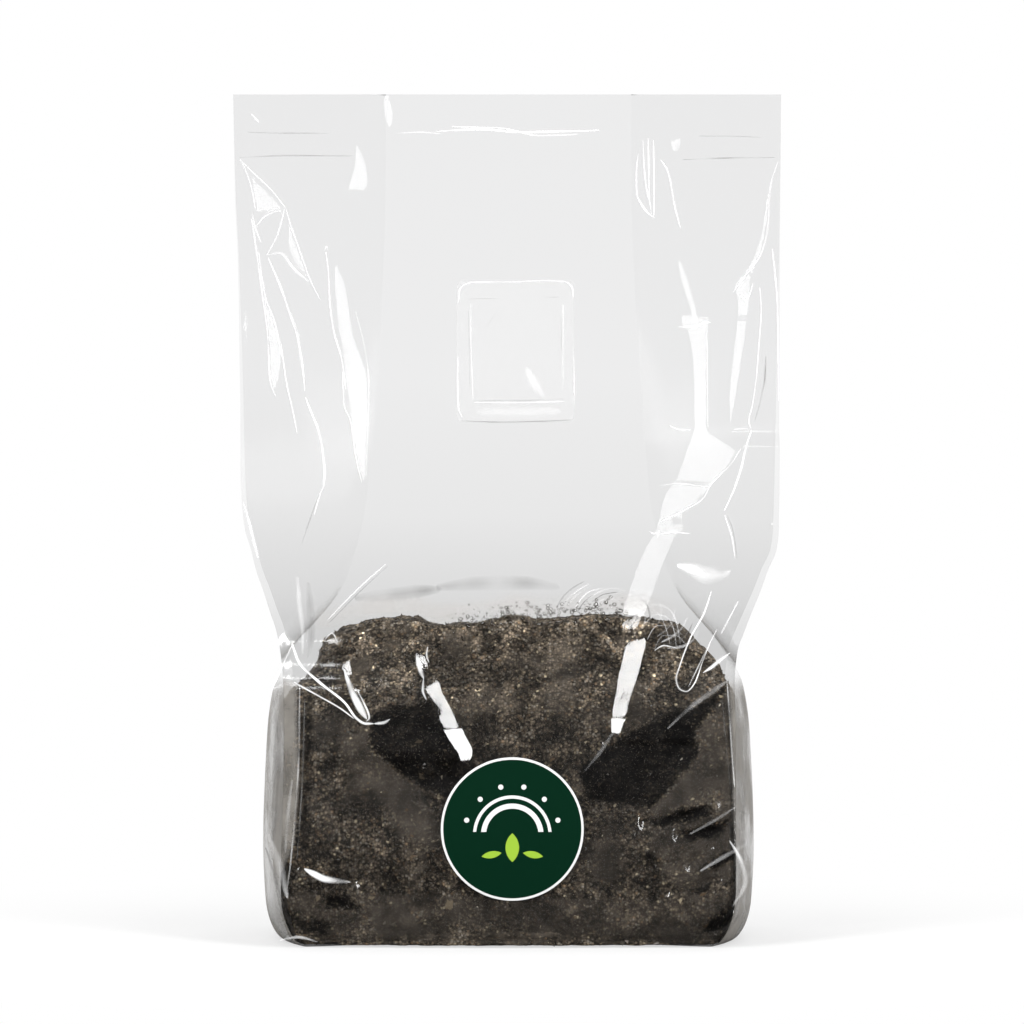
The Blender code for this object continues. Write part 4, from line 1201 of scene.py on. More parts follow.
def sharpen_creases(mesh, panels, count, heights):
    """Keeps the shading crisp along the gussets' creases and inner folds, over the fill."""
    changes = [i for i in range(count) if panels[i] != panels[i - 1]]
    noses = [i - 1 for i in changes if panels[i] in ("right_back", "left_front")]
    creases = [i for i in changes if panels[i] not in ("right_back", "left_front")]
    creases += [i - 1 for i in creases]
    lines = [i % count for i in noses + creases]
    edges = np.empty(len(mesh.edges) * 2, int)
    mesh.edges.foreach_get("vertices", edges)
    edges = edges.reshape(-1, 2)
    rows, cols = edges // count, edges % count
    upright = (cols[:, 0] == cols[:, 1]) & (rows[:, 0] != rows[:, 1])
    high = heights[np.minimum(rows.min(1), len(heights) - 1)] > SHOULDER
    layer = mesh.attributes.new("sharp_edge", "BOOLEAN", "EDGE")
    layer.data.foreach_set("value", upright & high & np.isin(cols[:, 0], lines))


def front_film(x, z, grid):
    """Distance of the creased front film from the middle plane, at any place on it."""
    heights = grid[:, 0, 2]
    row = np.clip(np.searchsorted(heights, z) - 1, 0, len(heights) - 2)
    share = np.clip((z - heights[row]) / (heights[row + 1] - heights[row]), 0, 1)
    out = np.zeros(len(x))
    for i in range(len(x)):
        low = np.interp(x[i], grid[row[i], :, 0], grid[row[i], :, 1])
        high = np.interp(x[i], grid[row[i] + 1, :, 0], grid[row[i] + 1, :, 1])
        out[i] = between(share[i], low, high)
    return out


def front_grid():
    """The front film's part of the film's points."""
    grid, panels, _ = film_grid(bpy.context.scene.grow_bag_film)
    return grid[:, panels == "front"]


class GROWBAG_OT_folds(Operator):
    """Make the fine fold lines of the film, with their painted highlights and shade, and the droplets on it
    """

    bl_idname = "growbag.folds"
    bl_label = "Folds and droplets"

    def execute(self, context):
        settings = context.scene.grow_bag_folds
        grid = front_grid()
        points, faces, shines = [], [], []
        for number, (shine, on_patch, *line) in enumerate(FOLD_LINES):
            rows = fold_bead(line, grid, on_patch, settings)
            first = sum(len(p) for p in points)
            points.append(rows.reshape(-1, 3))
            faces += grid_faces(len(rows), rows.shape[1], cyclic=False, first=first)
            # Painted highlight or shade of each line, uneven along it
            uneven = 0.85 + 0.9 * fill_noise(rows[:, 0], 120, number)
            shines.append((shine * uneven[:, None] * BEAD_SHINES).ravel())
        lines = add_piece("film_folds_painted_light", np.concatenate(points), faces, fold_material())
        add_values(lines, "shine", np.concatenate(shines))
        add_droplets(grid, settings)
        return {"FINISHED"}


# Light that a droplet passes, from its middle to its rim, where the dark is painted shade for the light
# that real water bends away
WATER_TINTS = [(0.0, (1, 1, 1)), (0.12, (0.8, 0.79, 0.77)), (0.35, (0.16, 0.15, 0.14))]

# Rings of a droplet from its foot: radius and height against the droplet's radius
DROP_RINGS = ((1, 0), (0.85, 0.35), (0.5, 0.62))
DROP_SPAN = (-24, 43)  # where they lie across the bag, in millimetres

# Colours of a fold line's painted shade and of its painted highlight. Places across its bead, and how much
# of the painted light each takes
FOLD_SHADE, FOLD_LIGHT = (0.06, 0.058, 0.055, 1), (0.95, 0.95, 0.95, 1)
BEAD_PLACES = (-1, -0.6, 0, 0.6, 1)
BEAD_SHINES = np.array([[0.1, 0.75, 1.25, 0.75, 0.1]])


def fold_bead(line, grid, on_patch, settings):
    """A half round bead along a line of x, height, width in millimetres, laid on the film."""
    x, z, wide = (np.array(line).reshape(-1, 3) * MM).T
    lengths = np.concatenate([[0], np.cumsum(np.hypot(np.diff(x), np.diff(z)))])
    at = np.linspace(0, lengths[-1], max(4, round(lengths[-1] / settings.step)))
    px, pz, half = (curve_through(list(zip(lengths, v)), at) for v in (x, z, wide / 2))
    dx, dz = np.gradient(px), np.gradient(pz)
    long = np.hypot(dx, dz)
    ends = np.sqrt(np.clip(np.minimum(at, lengths[-1] - at) / MM, 0.02, 1))
    rows = []
    for share in BEAD_PLACES:
        ox = px - share * half * ends * dz / long
        oz = pz + share * half * ends * dx / long
        rise = settings.bead * 2 * half * ends * math.sqrt(1 - share**2)
        seat = settings.patch_seat if on_patch else settings.seat
        rows.append(np.stack([ox, front_film(ox, oz, grid) - seat - rise, oz], -1))
    return np.stack(rows, 1)


def fold_material():
    """Folded film edge with painted light: white as a painted highlight where its value is above 0, and a
    dark painted shade over what is behind where it is below 0.
    """
    recipe = Recipe("fold_lines_painted_light")
    shine = recipe.stored("shine")
    colour = recipe.blend(recipe.remap(shine, -0.01, 0.01), FOLD_SHADE, FOLD_LIGHT)
    share = recipe.math("MINIMUM", recipe.math("ABSOLUTE", shine), 0.9)
    clear = recipe.shader("ShaderNodeBsdfTransparent")
    return recipe.finish(recipe.mix(share, clear, recipe.surface(colour, 0.25)))


def add_droplets(grid, settings):
    """Small domes of water on the film where it meets the fill's top edge."""
    chance = np.random.default_rng(5)
    x = between(chance.beta(1.6, 1.4, settings.drops), *DROP_SPAN) * MM
    over = chance.normal(0.4, 2.0, settings.drops)
    z = fill_top(x) + over * MM
    radius = between(chance.random(settings.drops) ** 2.5, settings.small_drop, settings.large_drop)
    y = front_film(x, z, grid)
    turns = np.linspace(0, 2 * math.pi, 10, endpoint=False)
    points, faces = [], []
    for i in range(settings.drops):
        first = len(points)
        stretch = chance.uniform(0.75, 1.4)
        for share, rise in DROP_RINGS:
            for turn in turns:
                ox = radius[i] * share * math.cos(turn) * stretch
                oz = radius[i] * share * math.sin(turn)
                points.append((x[i] + ox, y[i] - settings.seat - rise * radius[i], z[i] + oz))
        points.append((x[i], y[i] - settings.seat - 0.7 * radius[i], z[i]))
        faces += grid_faces(3, 10, first=first)
        faces += [(first + 20 + t, first + 20 + (t + 1) % 10, first + 30) for t in range(10)]
    add_piece("film_droplets", points, faces, droplet_material())


def droplet_material():
    """Clear water: bright in the middle, with painted shade at its rim for the light that it bends away."""
    recipe = Recipe("droplets")
    through = recipe.ramp(recipe.facing(), WATER_TINTS)
    clear = recipe.shader("ShaderNodeBsdfTransparent", Color=through)
    return recipe.finish(recipe.mix(0.06, clear, recipe.surface(WHITE, 0.12, Metallic=1.0)))


class GROWBAG_OT_fill(Operator):
    """Make the block of moist crumbly substrate"""

    bl_idname = "growbag.fill"
    bl_label = "Substrate"

    def execute(self, context):
        settings = context.scene.grow_bag_fill
        surface = make_block(settings)
        crumbs = bits_material("crumbs", earth_tones(settings, CRUMB_TONES, 1.7), (0.2, 0.8))
        scatter("substrate_crumbs", surface, settings.crumbs, (0.5, 2.6), 1.3, 7, crumbs, CHIPS)
        pale = [(0.0, settings.grey), (0.5, settings.tan), (0.8, settings.straw)]
        fibres = bits_material("fibres", pale, (0.25, 0.8))
        scatter("substrate_fibres", surface, settings.fibres, (0.2, 0.42), 7.0, 19, fibres)
        return {"FINISHED"}


def film_ring(grid, z, turns, inset):
    """Reach of the fill at a height inside the film, one value for each turn angle."""
    rows = np.clip(np.searchsorted(grid[:, 0, 2], z), 0, len(grid) - 1)
    outline = grid[rows, :, :2]
    angles, reach = np.arctan2(outline[:, 1], outline[:, 0]), np.hypot(outline[:, 0], outline[:, 1])
    order = np.argsort(angles)
    angles, reach = angles[order], reach[order]
    angles = np.concatenate([angles - 2 * math.pi, angles, angles + 2 * math.pi])
    wanted = (turns + math.pi) % (2 * math.pi) - math.pi
    radius = np.interp(wanted, angles, np.tile(reach, 3)) - inset
    side = fill_side(np.full(turns.shape, z), np.cos(turns))
    squeeze = (1 + (np.abs(radius * np.cos(turns)) / side) ** 16) ** (-1 / 16)
    return radius * squeeze


def fill_side(z, way):
    """How far the fill reaches to the left and right, which is short of the film over the foot."""
    return np.where(way < 0, traced(FILL_LEFT, z), traced(FILL_RIGHT, z))


def fill_top(x):
    """Height of the fill's top edge in the photo, in metres."""
    return traced(FILL_TOP, x)


def crown_height(x, y):
    """Uneven top of the fill against the plain crown, in metres."""
    lumps = sum(0.7 * noise.noise(Vector((x * scale, y * scale, 5.1))) for scale in (60, 150))
    return fill_top(np.array([x]))[0] - CROWN_LEVEL + lumps * MM


def block_grid(settings):
    """Rings of the smooth fill from the middle of its foot up to the middle of its crown."""
    grid, _, _ = film_grid(bpy.context.scene.grow_bag_film)
    turns = np.linspace(0, 2 * math.pi, round(0.5 / settings.cell), endpoint=False)
    foot = FOOT_RISE * (1 - np.cos(np.linspace(0.25, math.pi / 2, 14)))
    heights = np.concatenate([foot, np.arange(FOOT_RISE, CREST - 5 * MM, settings.cell)[1:]])
    rings = []
    for z in heights:
        reach = film_ring(grid, z, turns, settings.gap)
        rings.append(np.stack([reach * np.cos(turns), reach * np.sin(turns), np.full(turns.shape, z)], -1))
    top = rings[-1]
    for share in np.linspace(0, 1, 44)[1:-1]:
        ring = top * np.array([1 - share, 1 - share, 1])
        ring[:, 2] += 4 * MM * (1 - (1 - min(share / 0.12, 1)) ** 2)
        rings.append(ring)
    base = [rings[0] * np.array([share, share, 1]) for share in np.linspace(0, 1, 12)[1:-1]]
    return np.array(base + rings)


def make_block(settings):
    """The block of substrate. Gives what the loose bits need to know of its surface."""
    grid = block_grid(settings)
    count = grid.shape[1]
    points = grid.reshape(-1, 3)
    low = len(points)
    points = np.concatenate([points, [grid[0].mean(axis=0)], [grid[-1].mean(axis=0)]])
    faces = grid_faces(len(grid), count) + fan(low, 0, count)
    faces += fan(low + 1, low - count, count, outward=True)
    shaped, normals, hollow = roughen(points, faces)
    material = crumb_material("moist_substrate", settings)
    block = add_piece("substrate_block", shaped, faces, material, ["substrate"])
    # Marks for the material: painted shade in the hollows, the fill's painted light and shade, and wet mud
    light, mud = painted_light_and_mud(shaped)
    for name, values in (("hollow", hollow), ("light", light), ("mud", mud)):
        add_values(block, name, values)
    return shaped, normals, len(grid), count, mud


# Turn of a chip that lies flat behind the film, and its thickness against a crumb's
FACING = Matrix(((1, 0, 0), (0, 0, -1), (0, 1, 0)))
CHIP_THIN = 0.4

# Larger chips behind the front film: x, height over the table and size in millimetres, and tone
CHIPS = [
    (-20.8, 15.5, 4.6, 0.93), (-20.6, 15.7, 4.4, 0.935), (-67.3, 18.0, 3.0, 0.93),
    (-31.6, 73.5, 2.8, 0.93), (-30.4, 61.5, 2.8, 0.93), (-39.2, 69.0, 1.8, 0.93),
    (-49.0, 18.0, 2.2, 0.93), (76.8, 89.0, 1.8, 0.993), (62.0, 17.2, 1.9, 0.993),
    (69.5, 18.8, 2.2, 0.955), (-22.4, 70.0, 1.7, 0.93), (-44.6, 46.0, 1.8, 0.93),
    (70.0, 8.0, 2.4, 0.955),
]

# A loose bit: six points and eight faces. Its width and depth against its plain size
ROCK = np.array([(1, 0, 0), (-1, 0, 0), (0, 1, 0), (0, -1, 0), (0, 0, 1), (0, 0, -1)], float)
ROCK_FACES = np.array(
    [(0, 2, 4), (2, 1, 4), (1, 3, 4), (3, 0, 4), (2, 0, 5), (1, 2, 5), (3, 1, 5), (0, 3, 5)]
)
ROCK_WIDE, ROCK_DEEP = 0.75, 0.55

# Share of the bits that the back of the fill keeps, and rings of the foot that get none
BACK_SHARE = 0.55
BARE_RINGS = 11

# Power that evens out the fill's painted light and shade on its loose bits
BIT_LIGHT = 0.38


def scatter(name, surface, number, sizes, stretch, seed, material, chips=()):
    """Loose bits set into the fill's surface, each with its own size, form and turn."""
    points, normals, rows, count, mud = surface
    chance = np.random.default_rng(seed)
    pick = chance.integers(BARE_RINGS * count, (rows - 1) * count, number * 3)
    wanted = np.where(normals[pick, 1] < 0.3, 1.0, BACK_SHARE) * (1 - 0.7 * mud[pick])
    pick = pick[chance.random(len(pick)) < wanted][:number]
    place = points[pick] + (points[pick + 1] - points[pick]) * chance.random((len(pick), 1))
    size = between(chance.random(len(pick)) ** 3.5, *sizes) * MM
    place = place - normals[pick] * (0.22 * size[:, None])
    tones = chance.random(len(pick))
    for i, (x, height, across, tone) in enumerate(chips):
        away = np.hypot(points[:, 0] - x * MM, points[:, 2] - height * MM) + (points[:, 1] > 0)
        nearest = int(np.argmin(away[: rows * count]))
        place[i] = points[nearest] - normals[nearest] * (0.02 * across * MM)
        size[i], tones[i] = across * MM, tone
    turn = np.linalg.qr(chance.normal(size=(len(pick), 3, 3)))[0]
    shape = ROCK[None] * (1 + 0.45 * (chance.random((len(pick), 6, 1)) - 0.5))
    shape = shape * np.array([stretch, ROCK_WIDE, ROCK_DEEP])
    for i in range(len(chips)):
        lean = Matrix.Rotation(i, 3, "Y")
        turn[i], shape[i, :, 2] = np.array(lean @ FACING), shape[i, :, 2] * CHIP_THIN
    corners = np.einsum("nij,nkj->nki", turn, shape) * size[:, None, None] / 2 + place[:, None, :]
    faces = (ROCK_FACES[None] + 6 * np.arange(len(pick))[:, None, None]).reshape(-1, 3)
    piece = add_piece(name, corners.reshape(-1, 3), faces, material)
    piece.data.shade_flat()
    add_values(piece, "tone", np.repeat(tones, 6))
    # Each bit takes the fill's painted light and shade where it lies, evened out
    add_values(piece, "light", np.repeat(painted_light_and_mud(place)[0] ** BIT_LIGHT, 6))


def add_values(piece, name, values):
    """Gives each point of a piece a value that its material reads."""
    layer = piece.data.attributes.new(name, "FLOAT", "POINT")
    layer.data.foreach_set("value", values)


def fill_cling(points):
    """Cling of the film over each point of the fill, in patches on the sides and back."""
    front = points[:, 1] < -0.5 * CORNER_Y
    patches = fill_noise(points, 26, 40) + 0.5 * fill_noise(points, 70, 47)
    guessed = between(ramp(-0.35, 0.45, patches), *GUESSED_CLING)
    return np.where(front, front_cling(points[:, 0], points[:, 2]), guessed)


def fill_noise(points, scale, seed):
    """Smooth noise at each point, with scale waves to a metre."""
    return np.array([noise.noise(Vector(p) * scale + Vector((seed, 0, 0))) for p in points])


def painted_light_and_mud(points):
    """Painted light and shade of the fill at each point, with a random tone of lumps, and how far wet mud
    on the film smooths it over.
    """
    cling = fill_cling(points)
    lumps = fill_noise(points, 85, 0) + 0.6 * fill_noise(points, 210, 9)
    # Painted shadow where the film stands off the fill, times a random tone of lumps
    light = between(ramp(0, 0.3, cling), PAINTED_SHADOW_SHARE, 1) * between(ramp(-0.5, 0.5, lumps), 0.55, 1.6)
    height = points[:, 2]
    # Painted light from above: lighter up the slope and on the crest
    light *= 1.25 + 1.45 * ramp(82 * MM, 98 * MM, height) + 1.3 * ramp(106 * MM, 114 * MM, height)
    pools = ramp(0.0, 0.5, fill_noise(points, 75, 21) + 0.4 * fill_noise(points, 260, 33))
    pools *= ramp(0.1, 0.3, cling)
    mud = np.clip(0.6 * pools + 0.55 * ramp(0.55, 0.85, cling), 0, 0.8)
    return light, mud


def bits_material(name, stops, rough):
    """Flat faced bits, each in one colour picked by its own tone and made lighter or darker by the fill's
    painted light and shade.
    """
    recipe = Recipe(name)
    tone = recipe.stored("tone")
    colour = recipe.scaled(recipe.ramp(tone, stops, "CONSTANT"), recipe.stored("light"))
    shine = recipe.math("FRACT", recipe.times(tone, 37.0))
    roughness = recipe.remap(shine, 0.8, 1.0, rough[1], rough[0])
    specular = recipe.remap(shine, 0.8, 0.9, 0.1, 0.9)
    return recipe.finish(recipe.surface(colour, roughness, Specular_IOR_Level=specular))


# Depth of the hollows between the crumbs, and of the block's slow waves
HOLLOW_DEPTH, SLOW_DEPTH = 2.2 * MM, 1.1 * MM
HOLLOW_SEED = 7  # keeps the hollows in the same places on each run


def roughen(points, faces):
    """Sinks hollows between the crumbs, so that the block never grows through the film."""
    mesh = bpy.data.meshes.new("rough")
    mesh.from_pydata(points.tolist(), [], faces)
    normals = np.empty(len(points) * 3)
    mesh.vertices.foreach_get("normal", normals)
    normals = normals.reshape(-1, 3)
    bpy.data.meshes.remove(mesh)
    noise.seed_set(HOLLOW_SEED)
    shaped = points.copy()
    hollow = np.zeros(len(points))
    for i, point in enumerate(points):
        spot = Vector(point)
        spot += 1.5 * MM * noise.noise_vector(spot * 300)
        big = min(noise.voronoi(spot * 170)[0][0] / 0.8, 1.0)
        small = min(noise.voronoi(spot * 420)[0][0] / 0.8, 1.0)
        hollow[i] = 0.55 * big**2 + 0.45 * small
        slow = 0.5 + 0.5 * noise.noise(spot * 55)
        face = normals[i]
        sink = HOLLOW_DEPTH * hollow[i] + SLOW_DEPTH * slow
        sink *= (1 - 0.8 * max(0, -face[2])) * (1 - 0.5 * abs(face[0]))
        shaped[i] = point - face * sink
        top = max(0.0, min(1.0, (point[2] - SHOULDER) / (CREST - SHOULDER)))
        shaped[i, 2] += top * crown_height(point[0], point[1])
    return shaped, normals, hollow


# The patch's rings inwards from its rim: share of the weld's width, and height in millimetres
PATCH_RINGS = [
    (0.0, -0.1), (0.03, 0.18), (0.16, 0.22), (0.26, 0.02), (0.82, 0.0), (0.9, -0.12), (0.96, -0.14),
    (1.02, 0.1), (1.08, 0.12),
]
PATCH_FLAT_SHARES = (0.75, 0.5, 0.25, 0.05)  # sizes of the rings of its flat middle
SHEET_SEAT = 0.3 * MM  # how far a sheet's back lies in front of the plain film


def film_depth(x, z):
    """Distance of the plain front film in front of the middle plane."""
    reach = np.where(x < 0, left_crease(z), right_crease(z)) - foot_inset(z)
    return panel_depth(x / reach, z, FRONT_BELLY)


def ring_sheet(outlines, heights, centre, thickness):
    """A thin closed sheet laid on the film: rings from the rim inwards, with a height for each."""
    front, back = [], []
    for (x, z), height in zip(outlines, heights):
        px, pz = centre[0] + x, centre[1] + z
        depth = film_depth(px, pz) + SHEET_SEAT
        front.append(np.stack([px, -(depth + thickness + height), pz], -1))
        back.append(np.stack([px, -depth, pz], -1))
    rows = np.array(back[::-1] + front)
    count = rows.shape[1]
    faces = grid_faces(len(rows), count)
    last = (len(rows) - 1) * count
    faces += [tuple(range(count))[::-1], tuple(range(last, last + count))]
    return rows.reshape(-1, 3), faces


def rounded(half_x, half_z, corner, count=40):
    """Points round a rectangle with rounded corners, about count for each corner and each side."""
    signs = ((1, 1), (-1, 1), (-1, -1), (1, -1))
    steps = np.linspace(0, 1, count + 1)[1:-1]
    x, z = [], []
    for i, (sx, sz) in enumerate(signs):
        turn = np.linspace(0, math.pi / 2, count) + i * math.pi / 2
        cx, cz = sx * (half_x - corner), sz * (half_z - corner)
        x.append(cx + corner * np.cos(turn))
        z.append(cz + corner * np.sin(turn))
        sx, sz = signs[(i + 1) % 4]
        ex, ez = sx * (half_x - corner), sz * (half_z - corner)
        nx, nz = ex + corner * math.cos(turn[-1]), ez + corner * math.sin(turn[-1])
        x.append(between(steps, x[-1][-1], nx))
        z.append(between(steps, z[-1][-1], nz))
    return np.concatenate(x), np.concatenate(z)


class GROWBAG_OT_patch(Operator):
    """Make the welded breathing patch"""

    bl_idname = "growbag.patch"
    bl_label = "Filter patch"

    def execute(self, context):
        settings = context.scene.grow_bag_patch
        half_x, half_z = (PATCH_HIGH.x - PATCH_LOW.x) / 2, (PATCH_HIGH.z - PATCH_LOW.z) / 2
        weld_x, weld_z = settings.weld_side, settings.weld_end
        outlines, heights = [], []
        for share, height in PATCH_RINGS:
            corner = max(settings.corner * (1 - share), 0.4 * MM)
            inner_x, inner_z = half_x - share * weld_x, half_z - share * weld_z
            outlines.append(rounded(inner_x, inner_z, corner))
            heights.append(height * MM)
        for share in PATCH_FLAT_SHARES:
            inner_x, inner_z = share * (half_x - 1.1 * weld_x), share * (half_z - 1.1 * weld_z)
            outlines.append(rounded(inner_x, inner_z, 0.3 * MM * share))
            heights.append(0.1 * MM)
        centre = (PATCH_CENTRE.x, PATCH_CENTRE.z)
        points, faces = ring_sheet(outlines, heights, centre, settings.thickness)
        membrane = patch_material(settings)
        add_piece("filter_patch_sheet", points, faces, membrane, ["filter_patch"])
        return {"FINISHED"}


def patch_material(settings):
    """Thin white membrane that lets most light through, with a faint sheen."""
    recipe = Recipe("breathing_membrane")
    normal = recipe.bump(0.15, 0.1 * MM, recipe.noise(recipe.position(), 1400.0, 2.0))
    sheet = recipe.surface((0.62, 0.62, 0.62, 1), 0.3, Normal=normal)
    clear = recipe.shader("ShaderNodeBsdfTransparent", Color=(0.99, 0.99, 0.99, 1))
    return recipe.finish(recipe.mix(settings.whiteness, clear, sheet))


# The label's generic print, in millimetres from its middle: leaves as overlaps of two circles, arcs
# over them as radius and half width, which end over a foot line, and a row of dots
PRINT_EDGE = 0.07
LEAVES = [
    ((-4.2, -6.5), (4.2, -6.5), 6.6),
    ((-6.5, -13.6), (-8.2, -4.4), 5.9),
    ((6.5, -13.6), (8.2, -4.4), 5.9),
]
ARC_CENTRE = (0, -2)
ARC_FOOT = (1.0, 1.2)
ARCS = [(10.2, 0.9), (13.4, 0.55)]
DOTS = [(-16.2, 3.2), (-11.4, 10.6), (-4.1, 14.9), (4.1, 14.9), (11.4, 10.6), (16.2, 3.2)]
DOT_RADIUS = 0.9


class GROWBAG_OT_label(Operator):
    """Make the round paper label with a generic print"""

    bl_idname = "growbag.label"
    bl_label = "Label"

    def execute(self, context):
        settings = context.scene.grow_bag_label
        turns = np.linspace(0, 2 * math.pi, 128, endpoint=False)
        radii = [LABEL_RADIUS, LABEL_RADIUS - 0.1 * MM, *np.linspace(LABEL_RADIUS - 1 * MM, 1 * MM, 12)]
        outlines = [(r * np.cos(turns), r * np.sin(turns)) for r in radii]
        heights = [-0.08 * MM] + [0.0] * (len(radii) - 1)
        centre = (LABEL_CENTRE.x, LABEL_CENTRE.z)
        points, faces = ring_sheet(outlines, heights, centre, settings.thickness)
        add_piece("label_disc", points, faces, label_material(settings), ["label"])
        return {"FINISHED"}


def label_material(settings):
    """Dark green disc with a white rim, lime leaves and white arcs and dots."""
    recipe = Recipe("printed_label")
    x, _, z = recipe.split(recipe.position())
    u = recipe.math("SUBTRACT", x, LABEL_CENTRE.x)
    v = recipe.math("SUBTRACT", z, LABEL_CENTRE.z)

    def away(cx, cz):
        steps = (recipe.math("SUBTRACT", u, cx * MM), recipe.math("SUBTRACT", v, cz * MM))
        squares = [recipe.math("POWER", recipe.math("ABSOLUTE", step), 2.0) for step in steps]
        return recipe.math("SQRT", recipe.math("ADD", *squares))

    def within(distance, radius):
        return recipe.remap(distance, (radius + PRINT_EDGE) * MM, (radius - PRINT_EDGE) * MM, smooth=False)

    def both(first, second):
        return recipe.math("MINIMUM", first, second)

    def less(first, second):
        return both(first, recipe.math("SUBTRACT", 1.0, second))

    lime = recipe.most(*[both(within(away(*a), r), within(away(*b), r)) for a, b, r in LEAVES])
    from_middle = away(*ARC_CENTRE)
    arcs = [less(within(from_middle, r + w), within(from_middle, r - w)) for r, w in ARCS]
    over = recipe.remap(v, *((ARC_CENTRE[1] + rise) * MM for rise in ARC_FOOT), smooth=False)
    rim = recipe.math("SUBTRACT", 1.0, within(away(0, 0), (LABEL_RADIUS - settings.rim) / MM))
    dots = [within(away(*dot), DOT_RADIUS) for dot in DOTS]
    white = recipe.most(both(recipe.most(*arcs), over), *dots, rim)
    colour = recipe.blend(lime, (*settings.green, 1), (*settings.lime, 1))
    colour = recipe.blend(white, colour, (*settings.white, 1))
    return recipe.finish(recipe.surface(colour, 0.6, Specular_IOR_Level=0.02))


# Heights of the ends of the strip lamps
STRIP_FOOT = 0.01
STRIP_TOP = 1.6

# The lamp over and behind the bag: size, distance with height, and the place it faces
OVERHEAD_SIZE, OVERHEAD_SPOT, OVERHEAD_AIM = (1.2, 0.8), (0.55, 1.5), (0, 0, 0.1)

# Glow of the floor close to the bag, and the reach in metres over which it comes up to full
GLOW_NEAR, GLOW_REACH = 0.62, (0.09, 0.34)

# Strength of the room's light, and of the room in front of the bag as the film mirrors it. How far
# back the mirrored floor and room turn bright
ROOM_LIGHT, FRONT_DARK = 0.12, 0.03
BEHIND_BAG, BEHIND_ROOM = (-0.1, 0.25), (0.05, 0.35)


class GROWBAG_OT_stage(Operator):
    """Set up the floor, lamps, world and camera"""

    bl_idname = "growbag.stage"
    bl_label = "Stage"

    def execute(self, context):
        settings = context.scene.grow_bag_stage
        add_floor()
        size, middle = (settings.strip_width, STRIP_TOP - STRIP_FOOT), (STRIP_TOP + STRIP_FOOT) / 2
        for name, side in (("left", LEFT), ("right", RIGHT)):
            turn, distance = side * settings.strip_turn, settings.strip_distance
            add_lamp(name + "_strip", settings.key, size, turn, distance, middle)
            turn, spot = side * settings.high_turn, (settings.high_distance, settings.high_height)
            add_lamp(name + "_high", settings.high, HIGH_SIZE, turn, *spot, HIGH_AIM)
        add_lamp("overhead", settings.top, OVERHEAD_SIZE, 180, *OVERHEAD_SPOT, OVERHEAD_AIM)
        set_world()
        add_camera(settings)
        context.scene.view_settings.view_transform = "Standard"
        return {"FINISHED"}


def add_lamp(name, power, size, azimuth, distance, height, aim=None):
    """A soft box, azimuth in degrees from the camera's side, that faces a point or the bag's axis."""
    lamp = bpy.data.lights.new(name, "AREA")
    lamp.shape = "RECTANGLE"
    lamp.size, lamp.size_y = size
    lamp.energy = power
    holder = bpy.data.objects.new(name, lamp)
    turn = math.radians(azimuth)
    holder.location = (distance * math.sin(turn), -distance * math.cos(turn), height)
    way = Vector(aim or (0, 0, height)) - holder.location
    holder.rotation_euler = way.to_track_quat("-Z", "Y").to_euler()
    holder.visible_camera = False
    bpy.context.scene.collection.objects.link(holder)


def add_floor():
    """Pale paper. It is bright to the camera away from the bag, and dim in front as the film mirrors it."""
    bpy.ops.mesh.primitive_plane_add(size=8)
    floor = bpy.context.object
    floor.name = "floor"
    recipe = Recipe("floor_paper")
    paper = recipe.shader("ShaderNodeBsdfDiffuse", Color=(0.9, 0.9, 0.9, 1))
    glow = recipe.shader("ShaderNodeEmission", Color=WHITE, Strength=1.0)
    place = recipe.position()
    away = recipe.add("ShaderNodeVectorMath", {"operation": "LENGTH"})
    recipe.feed(away.inputs[0], place)
    seen, mirrored = seen_rays(recipe)
    lit = recipe.remap(away.outputs["Value"], *GLOW_REACH, GLOW_NEAR, 1.0)
    plain = recipe.mix(recipe.times(seen, lit), paper, glow)
    behind = recipe.remap(recipe.split(place)[1], *BEHIND_BAG)
    dim = recipe.shader("ShaderNodeEmission", Color=WHITE, Strength=behind)
    floor.data.materials.append(recipe.finish(recipe.mix(mirrored, plain, dim)))


def seen_rays(recipe):
    """1 for what the camera sees, straight or through film, and 1 for what the film mirrors."""
    path = recipe.add("ShaderNodeLightPath").outputs
    return recipe.most(path["Is Camera Ray"], path["Is Transmission Ray"]), path["Is Glossy Ray"]


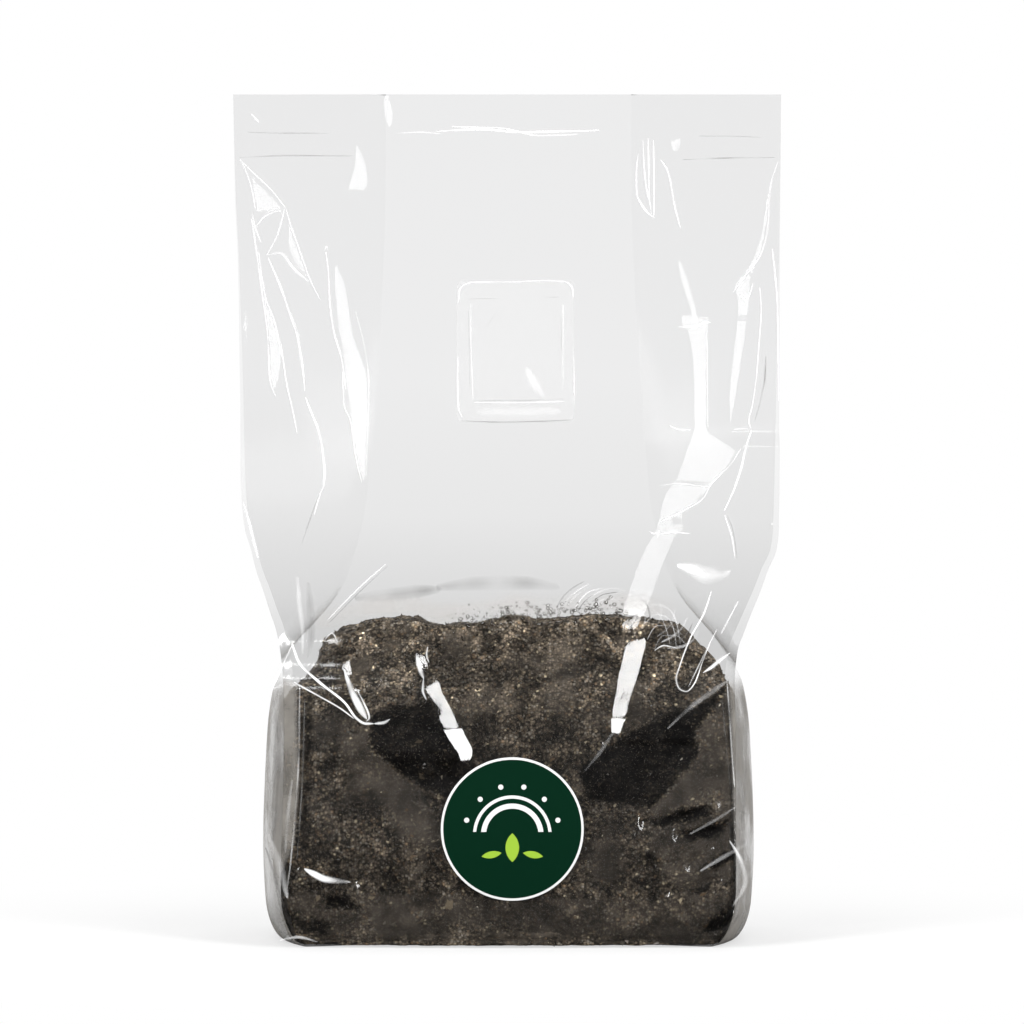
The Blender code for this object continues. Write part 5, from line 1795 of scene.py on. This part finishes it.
def set_world():
    """White to the camera and behind the bag, dim in front so that the film stays clear."""
    world = bpy.data.worlds.new("studio")
    bpy.context.scene.world = world
    world.use_nodes = True
    recipe = Recipe("studio", world.node_tree, "ShaderNodeOutputWorld")
    seen, mirrored = seen_rays(recipe)
    towards = recipe.split(recipe.add("ShaderNodeTexCoord").outputs["Generated"])[1]
    strengths = (ROOM_LIGHT, recipe.remap(towards, *BEHIND_ROOM, FRONT_DARK, 1.0), 1.0)
    dim, glossy, white = (
        recipe.shader("ShaderNodeBackground", Color=WHITE, Strength=strength) for strength in strengths
    )
    recipe.finish(recipe.mix(seen, recipe.mix(mirrored, dim, glossy), white))


def add_camera(settings):
    """The level camera of the photo, with a long lens."""
    lens = bpy.data.cameras.new("camera")
    lens.lens = settings.lens
    lens.sensor_width = 36
    lens.clip_end = 50
    camera = bpy.data.objects.new("camera", lens)
    camera.location = (settings.aim_x, -settings.distance, settings.aim_height)
    camera.rotation_euler = (math.pi / 2, 0, 0)
    bpy.context.scene.collection.objects.link(camera)
    bpy.context.scene.camera = camera


class GROWBAG_PT_sidebar(Panel):
    """Buttons for each piece"""

    bl_label = "Grow Bag"
    bl_idname = "GROWBAG_PT_sidebar"
    bl_space_type = "VIEW_3D"
    bl_region_type = "UI"
    bl_category = "Grow Bag"

    def draw(self, context):
        for operator in OPERATORS:
            self.layout.operator(operator.bl_idname)


OPERATORS = (
    GROWBAG_OT_film,
    GROWBAG_OT_folds,
    GROWBAG_OT_fill,
    GROWBAG_OT_patch,
    GROWBAG_OT_label,
    GROWBAG_OT_stage,
)
GROUPS = (
    ("grow_bag_film", GrowBagFilm),
    ("grow_bag_folds", GrowBagFolds),
    ("grow_bag_fill", GrowBagFill),
    ("grow_bag_patch", GrowBagPatch),
    ("grow_bag_label", GrowBagLabel),
    ("grow_bag_stage", GrowBagStage),
)


def register():
    """Adds the settings, the operators and the panel."""
    for name, group in GROUPS:
        bpy.utils.register_class(group)
        setattr(bpy.types.Scene, name, PointerProperty(type=group))
    for item in (*OPERATORS, GROWBAG_PT_sidebar):
        bpy.utils.register_class(item)


def unregister():
    """Takes them out again."""
    for item in reversed((*OPERATORS, GROWBAG_PT_sidebar)):
        bpy.utils.unregister_class(item)
    for name, group in reversed(GROUPS):
        delattr(bpy.types.Scene, name)
        bpy.utils.unregister_class(group)


def main():
    """Makes every piece in order."""
    register()
    bpy.ops.growbag.film()
    bpy.ops.growbag.folds()
    bpy.ops.growbag.fill()
    bpy.ops.growbag.patch()
    bpy.ops.growbag.label()
    bpy.ops.growbag.stage()


if __name__ == "__main__":
    main()
